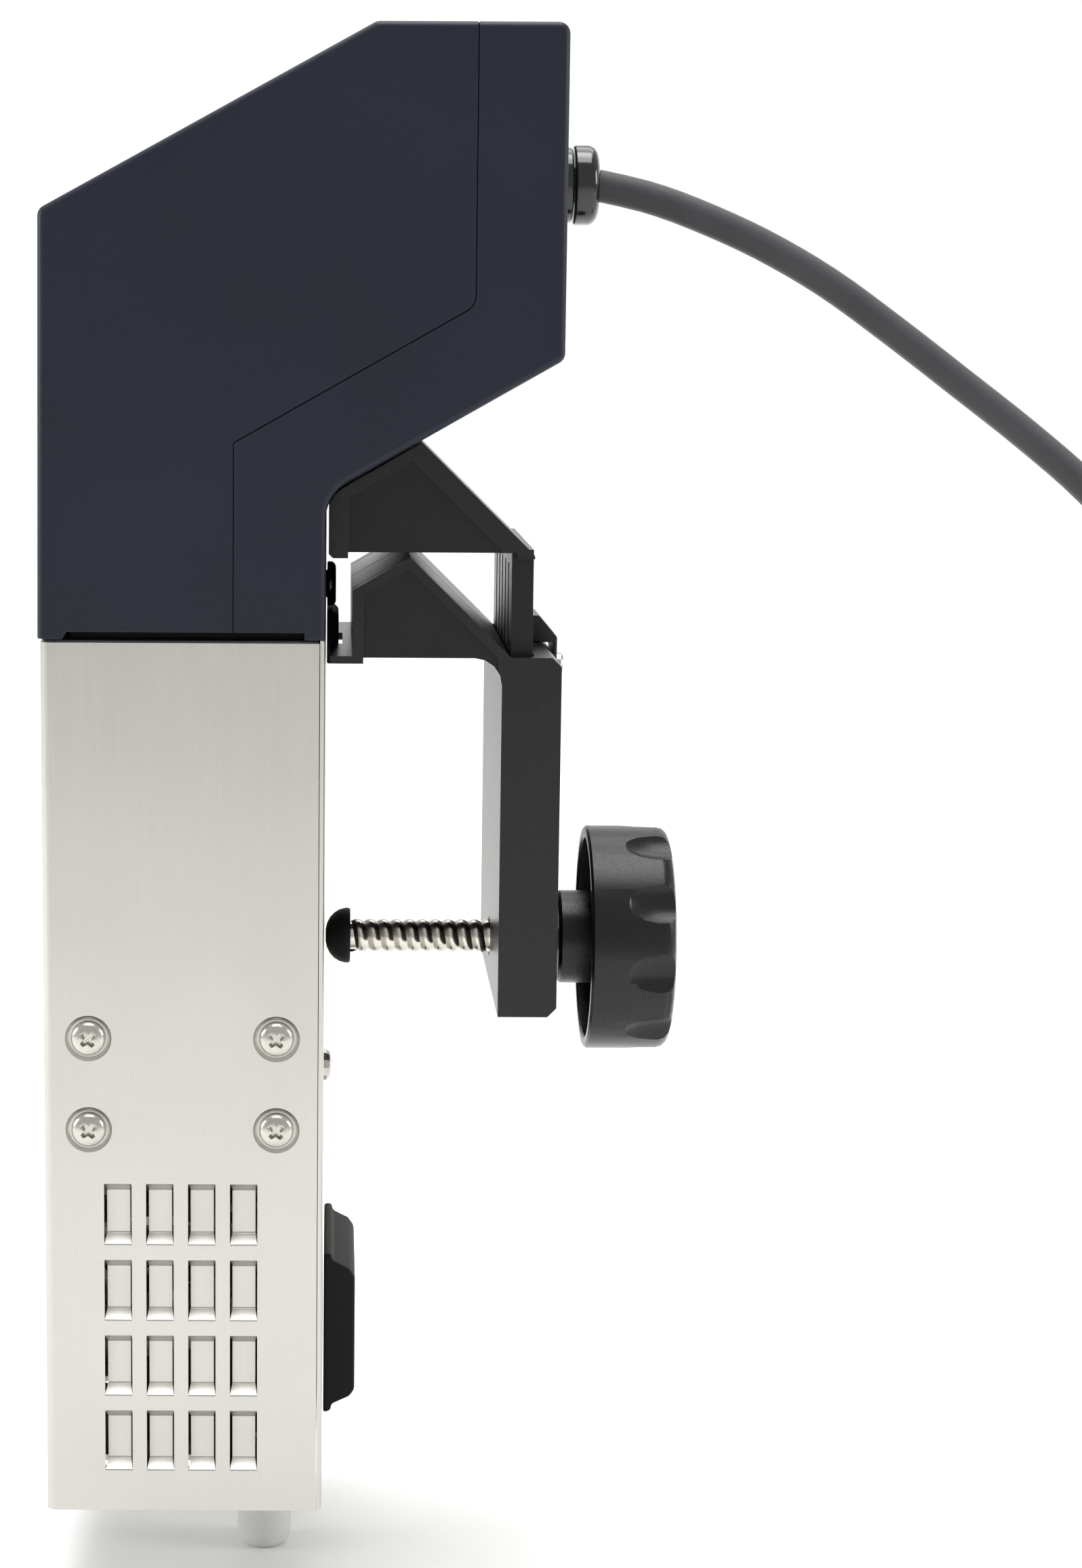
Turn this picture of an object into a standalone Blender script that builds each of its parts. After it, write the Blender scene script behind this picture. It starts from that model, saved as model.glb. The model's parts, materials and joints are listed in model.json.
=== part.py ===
"""Sous vide circulator that clamps on a pot wall.

Frame: +X points from the control side to the clamp side, +Z up, and the origin is on the
column's rear face, where the clamp screw presses the pot wall against it.
Heights in the functions are measured from the column's bottom edge, because everything is
parented to an empty that stands there.
"""
import math

import bmesh
import bpy
from mathutils import Matrix, Vector

MM = 0.001
GAP = 0.3 * MM           # clearance between pieces that rest on each other
RUN_GAP = 0.4 * MM       # clearance round anything that slides or turns
ROUND = 28               # sides of a turned piece
MID_ROUND = 20           # sides of a button, cap or gland
SMALL_ROUND = 12         # sides of a screw, rod or hole
TOOL_REACH = 5 * MM      # how far a cutter stands beyond the piece it cuts

# Column
COLUMN_DEPTH = 67.0 * MM       # front to rear, along X
COLUMN_WIDTH = 104.0 * MM      # across, along Y
COLUMN_HEIGHT = 213.6 * MM
SHEET = 1.2 * MM
BEND_RADIUS = 2.2 * MM
PAD_AXIS_HEIGHT = COLUMN_HEIGHT - 80.6 * MM   # the clamp screw's axis above the column's bottom

# Louvres, four by four in each side
LOUVRES_ACROSS = 4
LOUVRES_UP = 4
LOUVRE_WIDTH = 6.6 * MM
LOUVRE_HEIGHT = 15.0 * MM
LOUVRE_PITCH_X = 10.1 * MM
LOUVRE_PITCH_Z = 18.95 * MM
LOUVRE_FIRST_X = -52.6 * MM    # front edge of the first column of louvres
LOUVRE_FIRST_Z = 10.3 * MM     # bottom edge of the lowest row
LOUVRE_DEPTH = 3.0 * MM
LOUVRE_RAMP = 2.2 * MM
LOUVRE_TAPER = 0.5 * MM        # how much the pressed face is narrower on each side

# Screws in the column
SCREW_HEAD_RADIUS = 4.15 * MM
SCREW_HEAD_HEIGHT = 2.4 * MM
SCREW_SHANK_RADIUS = 2.0 * MM
SCREW_LENGTH = 6.5 * MM
DIMPLE_RADIUS = 5.2 * MM
DIMPLE_DEPTH = 0.7 * MM
SCREW_FRONT_X = -56.2 * MM
SCREW_SPACING_X = 45.0 * MM
SCREW_LOW_Z = 95.5 * MM
SCREW_SPACING_Z = 22.4 * MM
REAR_SCREW_Z = 99.2 * MM

# Head
HEAD_OVERHANG_SIDE = 3.0 * MM       # how far the head stands out from the column's sides
HEAD_WIDTH = COLUMN_WIDTH + 2 * HEAD_OVERHANG_SIDE
HEAD_TOP = COLUMN_HEIGHT + 141.4 * MM
HEAD_OVERHANG_FRONT = 0.35 * MM     # how far the head stands in front of the column
FRONT_DRAFT = 0.85 * MM
FRONT_FACE_TOP = COLUMN_HEIGHT + 99.0 * MM
PANEL_TOP_X = 11.1 * MM             # where the sloping face meets the top
HEAD_REAR_X = 55.0 * MM
UNDERSIDE_REAR_Z = COLUMN_HEIGHT + 65.4 * MM
SLANT = math.radians(29.6)          # underside and seam
SEAM_REAR_X = 34.2 * MM
SEAM_FRONT_X = -21.5 * MM
SEAM_BEND_Z = COLUMN_HEIGHT + 77.6 * MM
HEAD_WALL = 2.5 * MM
HEAD_FLOOR = 4.2 * MM
HEAD_EDGE = 1.4 * MM                # rounding of the head's outer edges
NECK_FILLET = 9.5 * MM
SIDE_NOTCH_HEIGHT = 1.7 * MM        # shadow gap above the column, between the corner tabs
CORNER_TAB = 4.9 * MM

SERVICE_OPENING_WIDTH = 80.0 * MM   # hole in the head's floor, over the column
VENTS = 4                           # slots in the head's rear wall
VENT_BOTTOM = COLUMN_HEIGHT + 73.4 * MM
VENT_PITCH = 5.5 * MM
VENT_HEIGHT = 2.2 * MM
VENT_WIDTH = 52.0 * MM

# Control panel, in the sloping face
PANEL_LENGTH = 74.0 * MM
PANEL_WIDTH = 92.0 * MM
PANEL_THICKNESS = 2.4 * MM
WINDOW_LENGTH = 26.0 * MM
WINDOW_WIDTH = 66.0 * MM
WINDOW_OFFSET = 14.0 * MM
BUTTON_RADIUS = 6.5 * MM
BUTTON_PITCH = 20.0 * MM
BUTTON_OFFSET = -20.0 * MM
BUTTON_PROUD = 1.4 * MM

# Power board in the rear of the head
BOARD_X = 37.0 * MM
BOARD_THICKNESS = 1.6 * MM
BOARD_WIDTH = 88.0 * MM
BOARD_BOTTOM = COLUMN_HEIGHT + 78.4 * MM
BOARD_HEIGHT = 54.0 * MM
RELAY_DEPTH = 15.0 * MM
RELAY_WIDTH = 18.0 * MM
RELAY_HEIGHT = 28.0 * MM
RELAY_FAR_Y = 38.0 * MM
SINK_BOTTOM = COLUMN_HEIGHT + 86.4 * MM
SINK_PITCH = 8.0 * MM
SINK_FINS = 5
SINK_FIN = 3.0 * MM
SINK_BASE = 3.0 * MM
SINK_DEPTH = 16.0 * MM
SINK_WIDTH = 34.0 * MM
SINK_Y = 22.0 * MM

# Drive
SHAFT_X = -38.5 * MM
SHAFT_RADIUS = 2.5 * MM
SHAFT_BOTTOM = 8.6 * MM
MOTOR_RADIUS = 21.0 * MM
MOTOR_BOTTOM = COLUMN_HEIGHT + 19.4 * MM
MOTOR_HEIGHT = 46.0 * MM
STOOL_SIDE = 48.0 * MM
STOOL_WING = 22.0 * MM         # how far the stool reaches past its square on each side
FAN_RADIUS = 22.0 * MM
FAN_HEIGHT = 8.0 * MM
FAN_BLADES = 7
IMPELLER_RADIUS = 13.0 * MM
IMPELLER_HEIGHT = 9.0 * MM
IMPELLER_BLADES = 5
HUB_RADIUS = 5.0 * MM

# Pump
PUMP_BOTTOM = 4.4 * MM
PUMP_HEIGHT = 18.0 * MM
PUMP_WALL = 2.2 * MM
PUMP_COVER = 2.4 * MM
NOZZLE_X = -15.0 * MM
NOZZLE_RADIUS = 6.95 * MM
NOZZLE_BORE = 4.2 * MM
NOZZLE_DROP = 29.0 * MM

# Inner frame
PLATE = 2.0 * MM
BRACKET_BOTTOM = 87.5 * MM
BRACKET_HEIGHT = 38.0 * MM
STANDOFF_RADIUS = 2.6 * MM
STANDOFF_CIRCLE = 12.6 * MM

# Heater and probes
HEATER_TUBE_RADIUS = 3.1 * MM
HEATER_COIL_RADIUS = 20.5 * MM
HEATER_TURNS = 4
HEATER_PITCH = 11.0 * MM
HEATER_BOTTOM = 31.0 * MM
HEATER_LEG_RADIUS = 11.0 * MM
HEATER_SWING = math.radians(45)     # turn in which the inner leg joins the coil
PROBE_RADIUS = 1.6 * MM
PROBE_Y = 33.0 * MM

# Clamp
CLAMP_WIDTH = 86.0 * MM
ROOF_FRONT_ANGLE = math.radians(30.0)
ROOF_REAR_ANGLE = math.radians(44.5)
ARM_FRONT_X = 0.65 * MM
ARM_FLANGE = 4.8 * MM
ARM_FLANGE_BOTTOM = COLUMN_HEIGHT + 18.6 * MM
ARM_PEAK_X = 22.6 * MM
ARM_PEAK_Z = COLUMN_HEIGHT + 45.9 * MM
ARM_WEB_BOTTOM = COLUMN_HEIGHT + 20.0 * MM
ARM_FRONT_RIB = 2.6 * MM
ARM_REAR_RIB = 4.7 * MM
WEB_RECESS = 0.8 * MM
WEB_THICKNESS = 2.0 * MM
FOOT_STEP = 0.2 * MM           # how much narrower a flange is below the webs
ARM_FRONT_FILLET = 6.0 * MM
ARM_REAR_FILLET = 1.5 * MM
BAR_REAR_X = 49.5 * MM
BAR_THICKNESS = 5.3 * MM
BAR_WIDTH = 79.0 * MM
BAR_BOTTOM = COLUMN_HEIGHT - 61.6 * MM
BAR_STEP = 0.1 * MM            # how far the bar's rear stands in from the arm's
BAR_GROOVES = 5
BAR_GROOVE_PITCH = 13.0 * MM
BAR_GROOVE_WIDTH = 4.0 * MM
BAR_GROOVE_DEPTH = 1.2 * MM
JAW_FRONT_X = 6.4 * MM
JAW_FLANGE = 2.8 * MM
JAW_PEAK_X = 20.05 * MM
JAW_PEAK_Z = COLUMN_HEIGHT + 18.9 * MM
JAW_RIB = 2.3 * MM
JAW_WEB_BOTTOM = COLUMN_HEIGHT - 5.0 * MM
JAW_RECESS = 0.5 * MM
LIP_FRONT_X = 1.1 * MM
LIP_TOP = COLUMN_HEIGHT - 4.6 * MM
LIP_BOTTOM = COLUMN_HEIGHT - 6.4 * MM
PLATE_FRONT_X = 42.0 * MM
PLATE_REAR_X = 56.2 * MM
PLATE_TOP = COLUMN_HEIGHT - 4.8 * MM
PLATE_BOTTOM = COLUMN_HEIGHT - 92.0 * MM
PLATE_CHAMFER = 2.2 * MM
JAW_FILLET = 6.5 * MM
BAR_POCKET_BOTTOM = COLUMN_HEIGHT - 67.6 * MM
BOLT_RADIUS = 1.5 * MM         # bolt that holds the bar's retainer
BOLT_LENGTH = 5.5 * MM
BOLT_HEAD_RADIUS = 2.9 * MM
BOLT_DROP = 6.0 * MM           # below the plate's top
RETAINER_RISE = 7.0 * MM
RETAINER_WIDTH = 18.0 * MM

# Clamp screw
THREAD_RADIUS = 4.3 * MM
PAD_RADIUS = 7.05 * MM
PAD_LENGTH = 6.3 * MM
PAD_TIP_RADIUS = 3.2 * MM
NUT_RADIUS = 8.0 * MM
NUT_LENGTH = 9.0 * MM
KNOB_HUB_X = 59.0 * MM
KNOB_HUB_RADIUS = 11.8 * MM
KNOB_RIM_X = 66.0 * MM
KNOB_REAR_X = 87.0 * MM
KNOB_RADIUS = 28.3 * MM
KNOB_WALL = 2.6 * MM
KNOB_FLOOR = 3.0 * MM
KNOB_SCALLOPS = 10
SCALLOP_RADIUS = 8.0 * MM
SCALLOP_SIDES = 8
KNOB_SIDES = 30
KNOB_SOCKET_END = 84.0 * MM

# Rubber and small pieces on the rear
BUMPER_BOTTOM = 14.3 * MM
BUMPER_HEIGHT = 41.7 * MM
BUMPER_DEPTH = 8.2 * MM
BUMPER_FLANGE = 2.0 * MM
BUMPER_WIDTH = 46.0 * MM
BUFFER_BOTTOM = COLUMN_HEIGHT - 9.8 * MM
BUFFER_HEIGHT = 13.0 * MM
BUFFER_DEPTH = 3.2 * MM
BUFFER_WIDTH = 24.0 * MM
CAP_Z = COLUMN_HEIGHT + 9.1 * MM
CAP_RADIUS = 5.6 * MM
CAP_DEPTH = 2.5 * MM

# Cord
GLAND_Z = COLUMN_HEIGHT + 107.4 * MM
GLAND_RADIUS = 9.7 * MM
GLAND_FLANGE = 4.6 * MM
GLAND_NUT = 6.0 * MM
CORD_DIAMETER = 7.8 * MM
COIL_RADIUS = 43.0 * MM         # to the middle of the turns
COIL_CENTRE_X = 272.0 * MM
COIL_CENTRE_Y = 43.0 * MM       # the cord arrives along Y = 0, tangent to the turns
COIL_HEIGHT = 17.0 * MM
COIL_BAND = 17.0 * MM
PLUG_LENGTH = 38.0 * MM
PLUG_RADIUS = 12.5 * MM
PLUG_NECK = 5.6 * MM
BLADE_LENGTH = 17.5 * MM
BLADE_WIDTH = 6.3 * MM
BLADE_THICKNESS = 1.5 * MM
BLADE_SPACING = 12.7 * MM
EARTH_PIN_RADIUS = 2.4 * MM
EARTH_PIN_OFFSET = 8.0 * MM

# Route of the cord's middle line from the gland to the coil, heights from the column's bottom
CORD_ROUTE = [
    (66.2, 0.0, 321.0), (78.0, 0.0, 318.4), (90.4, 0.0, 314.2), (106.9, 0.0, 307.0),
    (123.5, 0.0, 297.7), (140.2, 0.0, 286.0), (157.1, 0.0, 273.4), (174.0, 0.0, 260.6),
    (190.0, 0.0, 247.2), (203.5, 0.0, 232.5), (213.5, 0.0, 214.5), (220.5, 0.0, 190.0),
    (224.5, 0.0, 160.0), (226.3, 0.0, 125.0), (227.0, 0.0, 90.0), (227.4, 0.0, 55.0),
    (228.2, 0.0, 25.0), (230.4, 0.0, 3.0), (235.0, 0.0, -11.5),
]


# ---------------------------------------------------------------- helpers

def clear_scene():
    """Remove every object."""
    for item in list(bpy.data.objects):
        bpy.data.objects.remove(item, do_unlink=True)


def finish(name, rgb, roughness, metallic=0.0):
    """Make a plain material with a colour, a roughness and a metallic value."""
    material = bpy.data.materials.new(name)
    material.use_nodes = True
    shader = material.node_tree.nodes["Principled BSDF"]
    shader.inputs["Base Color"].default_value = (rgb[0], rgb[1], rgb[2], 1.0)
    shader.inputs["Roughness"].default_value = roughness
    shader.inputs["Metallic"].default_value = metallic
    return material


def add_object(name, shape, material, location=(0, 0, 0), rotation=(0, 0, 0), parent=None):
    """Turn a bmesh into a named object under the assembly, or under another parent."""
    bmesh.ops.recalc_face_normals(shape, faces=shape.faces)
    mesh = bpy.data.meshes.new(name)
    shape.to_mesh(mesh)
    shape.free()
    mesh.shade_smooth()
    mesh.set_sharp_from_angle(angle=math.radians(32))
    if material is not None:
        mesh.materials.append(material)
    item = bpy.data.objects.new(name, mesh)
    bpy.context.scene.collection.objects.link(item)
    item.location = location
    item.rotation_euler = rotation
    item.parent = parent if parent is not None else bpy.data.objects["assembly"]
    return item


def add_empty(name, location, rotation=(0, 0, 0), parent=None):
    """Add an empty that marks a frame or a joint's axis."""
    empty = bpy.data.objects.new(name, None)
    empty.location = location
    empty.rotation_euler = rotation
    empty.parent = parent
    bpy.context.scene.collection.objects.link(empty)
    return empty


def cut(target, shape, location=(0, 0, 0), rotation=(0, 0, 0), operation="DIFFERENCE"):
    """Subtract a shape from an object, or unite it, with a live Boolean."""
    name = target.name + "_tool_" + str(len(target.modifiers) + 1)
    tool = add_object(name, shape, None, location, rotation, target.parent)
    tool.hide_render = True
    tool.display_type = "WIRE"
    modifier = target.modifiers.new(name, "BOOLEAN")
    modifier.operation = operation
    modifier.object = tool


def unite(target, shape, location=(0, 0, 0), rotation=(0, 0, 0)):
    """Join a shape to an object with a live Boolean."""
    cut(target, shape, location, rotation, "UNION")


def box_shape(low, high, rounding=0.0, segments=2):
    """Box between two corners, with its edges rounded if asked."""
    shape = bmesh.new()
    bmesh.ops.create_cube(shape, size=1.0)
    size = [high[i] - low[i] for i in range(3)]
    middle = [(high[i] + low[i]) / 2 for i in range(3)]
    for vertex in shape.verts:
        vertex.co = Vector([middle[i] + vertex.co[i] * size[i] for i in range(3)])
    if rounding:
        bmesh.ops.bevel(shape, geom=list(shape.edges), offset=rounding, segments=segments,
                        profile=0.5, affect="EDGES")
    return shape


def prism_shape(outline, width, rounded=(), rounding=0.0):
    """Extrude an XZ outline evenly to both sides of Y = 0.

    The outline's sides listed in rounded get their edges on both ends rounded.
    """
    shape = bmesh.new()
    near = [shape.verts.new((x, -width / 2, z)) for x, z in outline]
    far = [shape.verts.new((x, width / 2, z)) for x, z in outline]
    shape.faces.new(near)
    shape.faces.new(list(reversed(far)))
    count = len(outline)
    for i in range(count):
        after = (i + 1) % count
        shape.faces.new((near[i], far[i], far[after], near[after]))
    if rounding:
        edges = []
        for i in rounded:
            after = (i + 1) % count
            edges.append(shape.edges.get((near[i], near[after])))
            edges.append(shape.edges.get((far[i], far[after])))
        bmesh.ops.bevel(shape, geom=edges, offset=rounding, segments=2, profile=0.5,
                        affect="EDGES")
    return shape


def turned_shape(profile, sides=ROUND):
    """Turn a (radius, height) profile round Z. A closed tube repeats its first point last."""
    shape = bmesh.new()
    closed = profile[0] == profile[-1]
    points = profile[:-1] if closed else profile
    rings = []
    for radius, height in points:
        if radius == 0:
            rings.append([shape.verts.new((0, 0, height))])
            continue
        ring = []
        for step in range(sides):
            angle = 2 * math.pi * step / sides
            ring.append(shape.verts.new((radius * math.cos(angle), radius * math.sin(angle), height)))
        rings.append(ring)
    pairs = list(zip(rings, rings[1:]))
    if closed:
        pairs.append((rings[-1], rings[0]))
    for first, second in pairs:
        for step in range(sides):
            after = (step + 1) % sides
            corners = [first[step % len(first)], first[after % len(first)],
                       second[after % len(second)], second[step % len(second)]]
            shape.faces.new(list(dict.fromkeys(corners)))
    return shape


def rod_shape(radius, low, high, sides=SMALL_ROUND, edge=0.0):
    """Solid rod along Z with bevelled ends if asked."""
    if edge:
        profile = [(0, low), (radius - edge, low), (radius, low + edge),
                   (radius, high - edge), (radius - edge, high), (0, high)]
    else:
        profile = [(0, low), (radius, low), (radius, high), (0, high)]
    return turned_shape(profile, sides)


def tube_shape(inner, outer, low, high, sides=ROUND):
    """Plain ring along Z."""
    profile = [(inner, low), (outer, low), (outer, high), (inner, high), (inner, low)]
    return turned_shape(profile, sides)


def merged(shapes):
    """Put several closed shapes into one mesh, for a tool that cuts in several places."""
    whole = bmesh.new()
    for shape, offset in shapes:
        bmesh.ops.translate(shape, verts=shape.verts, vec=offset)
        piece = bpy.data.meshes.new("piece")
        shape.to_mesh(piece)
        shape.free()
        whole.from_mesh(piece)
        bpy.data.meshes.remove(piece)
    return whole


def fillet(before, corner, after, radius, steps=4):
    """Points of a rounded corner between two straight sides."""
    here = Vector(corner)
    first = (Vector(before) - here).normalized()
    second = (Vector(after) - here).normalized()
    half = first.angle(second) / 2
    reach = radius / math.tan(half)
    centre = here + (first + second).normalized() * (radius / math.sin(half))
    start = here + first * reach - centre
    end = here + second * reach - centre
    turn = start.angle_signed(end)
    points = []
    for step in range(steps + 1):
        angle = -turn * step / steps
        x = start.x * math.cos(angle) - start.y * math.sin(angle)
        z = start.x * math.sin(angle) + start.y * math.cos(angle)
        points.append((centre.x + x, centre.y + z))
    return points


def inset(outline, distance):
    """Move each side of a closed outline inwards. The outline runs anticlockwise."""
    moved = []
    count = len(outline)
    for i in range(count):
        here = Vector(outline[i])
        back = (here - Vector(outline[i - 1])).normalized()
        ahead = (Vector(outline[(i + 1) % count]) - here).normalized()
        normal_back = Vector((-back.y, back.x))
        normal_ahead = Vector((-ahead.y, ahead.x))
        middle = (normal_back + normal_ahead).normalized()
        reach = distance / max(middle.dot(normal_back), 0.2)
        moved.append(tuple(here + middle * reach))
    return moved


def along_y(side):
    """Rotation that points a turned piece's +Z out of the near or the far side."""
    return (-side * math.pi / 2, 0, 0)


ALONG_X = (0, math.pi / 2, 0)       # turned pieces whose axis lies along +X


# ---------------------------------------------------------------- column

def louvre_spans(first, size, pitch, count):
    """Low and high edges of a row of louvres."""
    return [(first + pitch * i, first + pitch * i + size) for i in range(count)]


def grid_lines(low, high, spans):
    """All grid lines from low to high, with each span's two edges."""
    lines = [low]
    for start, end in spans:
        lines.extend((start, end))
    lines.append(high)
    return lines


def shell_path(columns):
    """Plan of the shell from its near rear edge round the front to its far rear edge.

    Each point is (x, y, louvre) where louvre is the number of the louvre column that the
    next stretch crosses, or None.
    """
    half = COLUMN_WIDTH / 2
    rear = -SHEET - GAP
    front = -COLUMN_DEPTH
    path = []
    lines = grid_lines(front + BEND_RADIUS, rear, columns)
    last = len(lines) - 1
    for i, x in enumerate(reversed(lines)):
        cell = last - 1 - i
        path.append((x, -half, cell // 2 if cell % 2 == 1 and cell > 0 else None))
    for side in (-1, 1):
        centre = (front + BEND_RADIUS, side * (half - BEND_RADIUS))
        for step in range(1, 4):
            angle = math.pi / 2 * step / 3
            if side < 0:
                x = centre[0] - BEND_RADIUS * math.sin(angle)
                y = centre[1] - BEND_RADIUS * math.cos(angle)
            else:
                x = centre[0] - BEND_RADIUS * math.cos(angle)
                y = centre[1] + BEND_RADIUS * math.sin(angle)
            if side > 0 and step == 1:
                path.append((front, side * (half - BEND_RADIUS), None))
            path.append((x, y, None))
    for i, x in enumerate(lines[1:], start=1):
        path.append((x, half, i // 2 if i % 2 == 1 and i < last else None))
    path[-len(lines)] = (path[-len(lines)][0], half, None)
    return path


def louvre_bridge(shape, corners, inward):
    """Pressed-in bridge between the top and the bottom of one louvre opening."""
    low_a, low_b, high_a, high_b = corners
    inner = []
    narrow = LOUVRE_TAPER if low_b.co.x > low_a.co.x else -LOUVRE_TAPER
    for vertex, lift, taper in ((low_a, LOUVRE_RAMP, narrow), (low_b, LOUVRE_RAMP, -narrow),
                                (high_a, -LOUVRE_RAMP, narrow), (high_b, -LOUVRE_RAMP, -narrow)):
        place = vertex.co + Vector((taper, inward * LOUVRE_DEPTH, lift))
        inner.append(shape.verts.new(place))
    shape.faces.new((low_a, low_b, inner[1], inner[0]))
    shape.faces.new((inner[0], inner[1], inner[3], inner[2]))
    shape.faces.new((inner[2], inner[3], high_b, high_a))


def column_shell(steel):
    """Folded sheet: two louvred sides and the front in one piece."""
    columns = louvre_spans(LOUVRE_FIRST_X, LOUVRE_WIDTH, LOUVRE_PITCH_X, LOUVRES_ACROSS)
    rows = louvre_spans(LOUVRE_FIRST_Z, LOUVRE_HEIGHT, LOUVRE_PITCH_Z, LOUVRES_UP)
    heights = grid_lines(0.0, COLUMN_HEIGHT, rows)
    path = shell_path(columns)
    shape = bmesh.new()
    grid = [[shape.verts.new((x, y, z)) for z in heights] for x, y, _ in path]
    for i in range(len(path) - 1):
        louvre = path[i][2]
        for j in range(len(heights) - 1):
            corners = (grid[i][j], grid[i + 1][j], grid[i][j + 1], grid[i + 1][j + 1])
            is_row = j % 2 == 1 and j < len(heights) - 2
            if louvre is not None and is_row:
                inward = 1.0 if path[i][1] < 0 else -1.0
                louvre_bridge(shape, corners, inward)
            else:
                shape.faces.new((corners[0], corners[1], corners[3], corners[2]))
    shell = add_object("column_shell", shape, steel)
    orient_outwards(shell)
    solidify = shell.modifiers.new("sheet", "SOLIDIFY")
    solidify.thickness = SHEET
    solidify.offset = -1.0
    solidify.use_even_offset = True
    for side in (-1, 1):
        tools = []
        for x, z in screw_places():
            tools.append((dimple_tool(), (x, z, 0)))
        cut(shell, merged(tools), (0, side * COLUMN_WIDTH / 2, 0), (math.pi / 2, 0, 0))
    return shell


def orient_outwards(shell):
    """Make an open sheet's faces point away from the column's middle."""
    mesh = shell.data
    shape = bmesh.new()
    shape.from_mesh(mesh)
    shape.faces.ensure_lookup_table()
    front = min(shape.faces, key=lambda face: face.calc_center_median().x)
    if front.normal.x > 0:
        bmesh.ops.reverse_faces(shape, faces=shape.faces)
    shape.to_mesh(mesh)
    shape.free()


def screw_places():
    """X and Z of the four screws in each side of the column."""
    places = []
    for across in range(2):
        for up in range(2):
            x = SCREW_FRONT_X + SCREW_SPACING_X * across
            places.append((x, SCREW_LOW_Z + SCREW_SPACING_Z * up))
    return places


def dimple_tool():
    """Stepped plug that cuts a screw's clearance hole and the dimple round its head.

    It is the same on both sides of Z = 0, so one tool suits both sides of the column.
    """
    hole = SCREW_SHANK_RADIUS + RUN_GAP
    deep = SHEET * 4
    profile = [(0, -deep), (hole, -deep), (hole, -DIMPLE_DEPTH), (DIMPLE_RADIUS - 0.8 * MM, -DIMPLE_DEPTH),
               (DIMPLE_RADIUS, 0), (DIMPLE_RADIUS - 0.8 * MM, DIMPLE_DEPTH), (hole, DIMPLE_DEPTH),
               (hole, deep), (0, deep)]
    return turned_shape(profile, SMALL_ROUND)


def screw_shape():
    """Pan-head machine screw along Z, its head's seat at Z = 0."""
    head = SCREW_HEAD_RADIUS
    tall = SCREW_HEAD_HEIGHT
    profile = [(0, -SCREW_LENGTH), (SCREW_SHANK_RADIUS - 0.3 * MM, -SCREW_LENGTH),
               (SCREW_SHANK_RADIUS, -SCREW_LENGTH + 0.3 * MM), (SCREW_SHANK_RADIUS, 0),
               (head - 0.2 * MM, 0), (head, 0.25 * MM), (head * 0.96, tall * 0.5),
               (head * 0.8, tall * 0.82), (head * 0.5, tall), (0, tall)]
    return turned_shape(profile, SMALL_ROUND)


def column_screws(steel):
    """Eight pan-head screws in the column's sides and one in its rear panel."""
    seat = COLUMN_WIDTH / 2 - DIMPLE_DEPTH + GAP
    for side, word in ((-1, "near"), (1, "far")):
        for number, (x, z) in enumerate(screw_places(), start=1):
            name = "side_screw_" + word + "_" + str(number)
            screw = add_object(name, screw_shape(), steel, (x, side * seat, z), along_y(side))
            cut(screw, recess_tool(), (x, side * seat, z), along_y(side))
    place = (-DIMPLE_DEPTH + GAP, 0, REAR_SCREW_Z)
    screw = add_object("rear_screw", screw_shape(), steel, place, ALONG_X)
    cut(screw, recess_tool(), place, ALONG_X)


def recess_tool():
    """Cross that makes a screw head's driver recess."""
    arm = 2.3 * MM
    half = 0.55 * MM
    low = SCREW_HEAD_HEIGHT - 1.3 * MM
    high = SCREW_HEAD_HEIGHT + 1.0 * MM
    outline = []
    for quarter in range(4):
        turn = Matrix.Rotation(math.pi / 2 * quarter, 2)
        for point in ((arm, -half), (arm, half), (half, half)):
            outline.append(turn @ Vector(point))
    shape = bmesh.new()
    bottom = [shape.verts.new((p.x * 0.7, p.y * 0.7, low)) for p in outline]
    top = [shape.verts.new((p.x, p.y, high)) for p in outline]
    shape.faces.new(bottom)
    shape.faces.new(top)
    count = len(outline)
    for i in range(count):
        after = (i + 1) % count
        shape.faces.new((bottom[i], bottom[after], top[after], top[i]))
    return shape


def rear_panel(steel):
    """Flat cover that closes the column towards the pot wall."""
    half = COLUMN_WIDTH / 2
    shape = box_shape((-SHEET, -half, 0), (0, half, COLUMN_HEIGHT))
    edges = [edge for edge in shape.edges
             if all(vertex.co.x > -SHEET / 2 and abs(vertex.co.y) > half * 0.99 for vertex in edge.verts)]
    bmesh.ops.bevel(shape, geom=edges, offset=SHEET * 0.9, segments=3, profile=0.5, affect="EDGES")
    panel = add_object("rear_panel", shape, steel)
    cut(panel, dimple_tool(), (0, 0, REAR_SCREW_Z), ALONG_X)
    return panel


def inner_limits(clearance=GAP):
    """Low and high corners, in plan, of what fits inside the column."""
    half = COLUMN_WIDTH / 2 - SHEET - clearance
    return (-COLUMN_DEPTH + SHEET + clearance, -half), (-SHEET - clearance, half)


def inner_plate(name, low_z, thickness, material):
    """Rectangular plate across the inside of the column, its corners clear of the bends."""
    low, high = inner_limits()
    shape = box_shape((low[0], low[1], low_z), (high[0], high[1], low_z + thickness))
    upright = [edge for edge in shape.edges if abs(edge.verts[0].co.z - edge.verts[1].co.z) > thickness / 2]
    bmesh.ops.bevel(shape, geom=upright, offset=BEND_RADIUS, segments=2, profile=0.5, affect="EDGES")
    return add_object(name, shape, material)


def leg_places():
    """Plan positions of the heater's two legs."""
    return (SHAFT_X - HEATER_LEG_RADIUS, 0.0), (SHAFT_X, HEATER_COIL_RADIUS)


def probe_places():
    """Plan positions of the temperature probe and of the level probe."""
    return (SHAFT_X, PROBE_Y), (SHAFT_X, -PROBE_Y)


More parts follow.
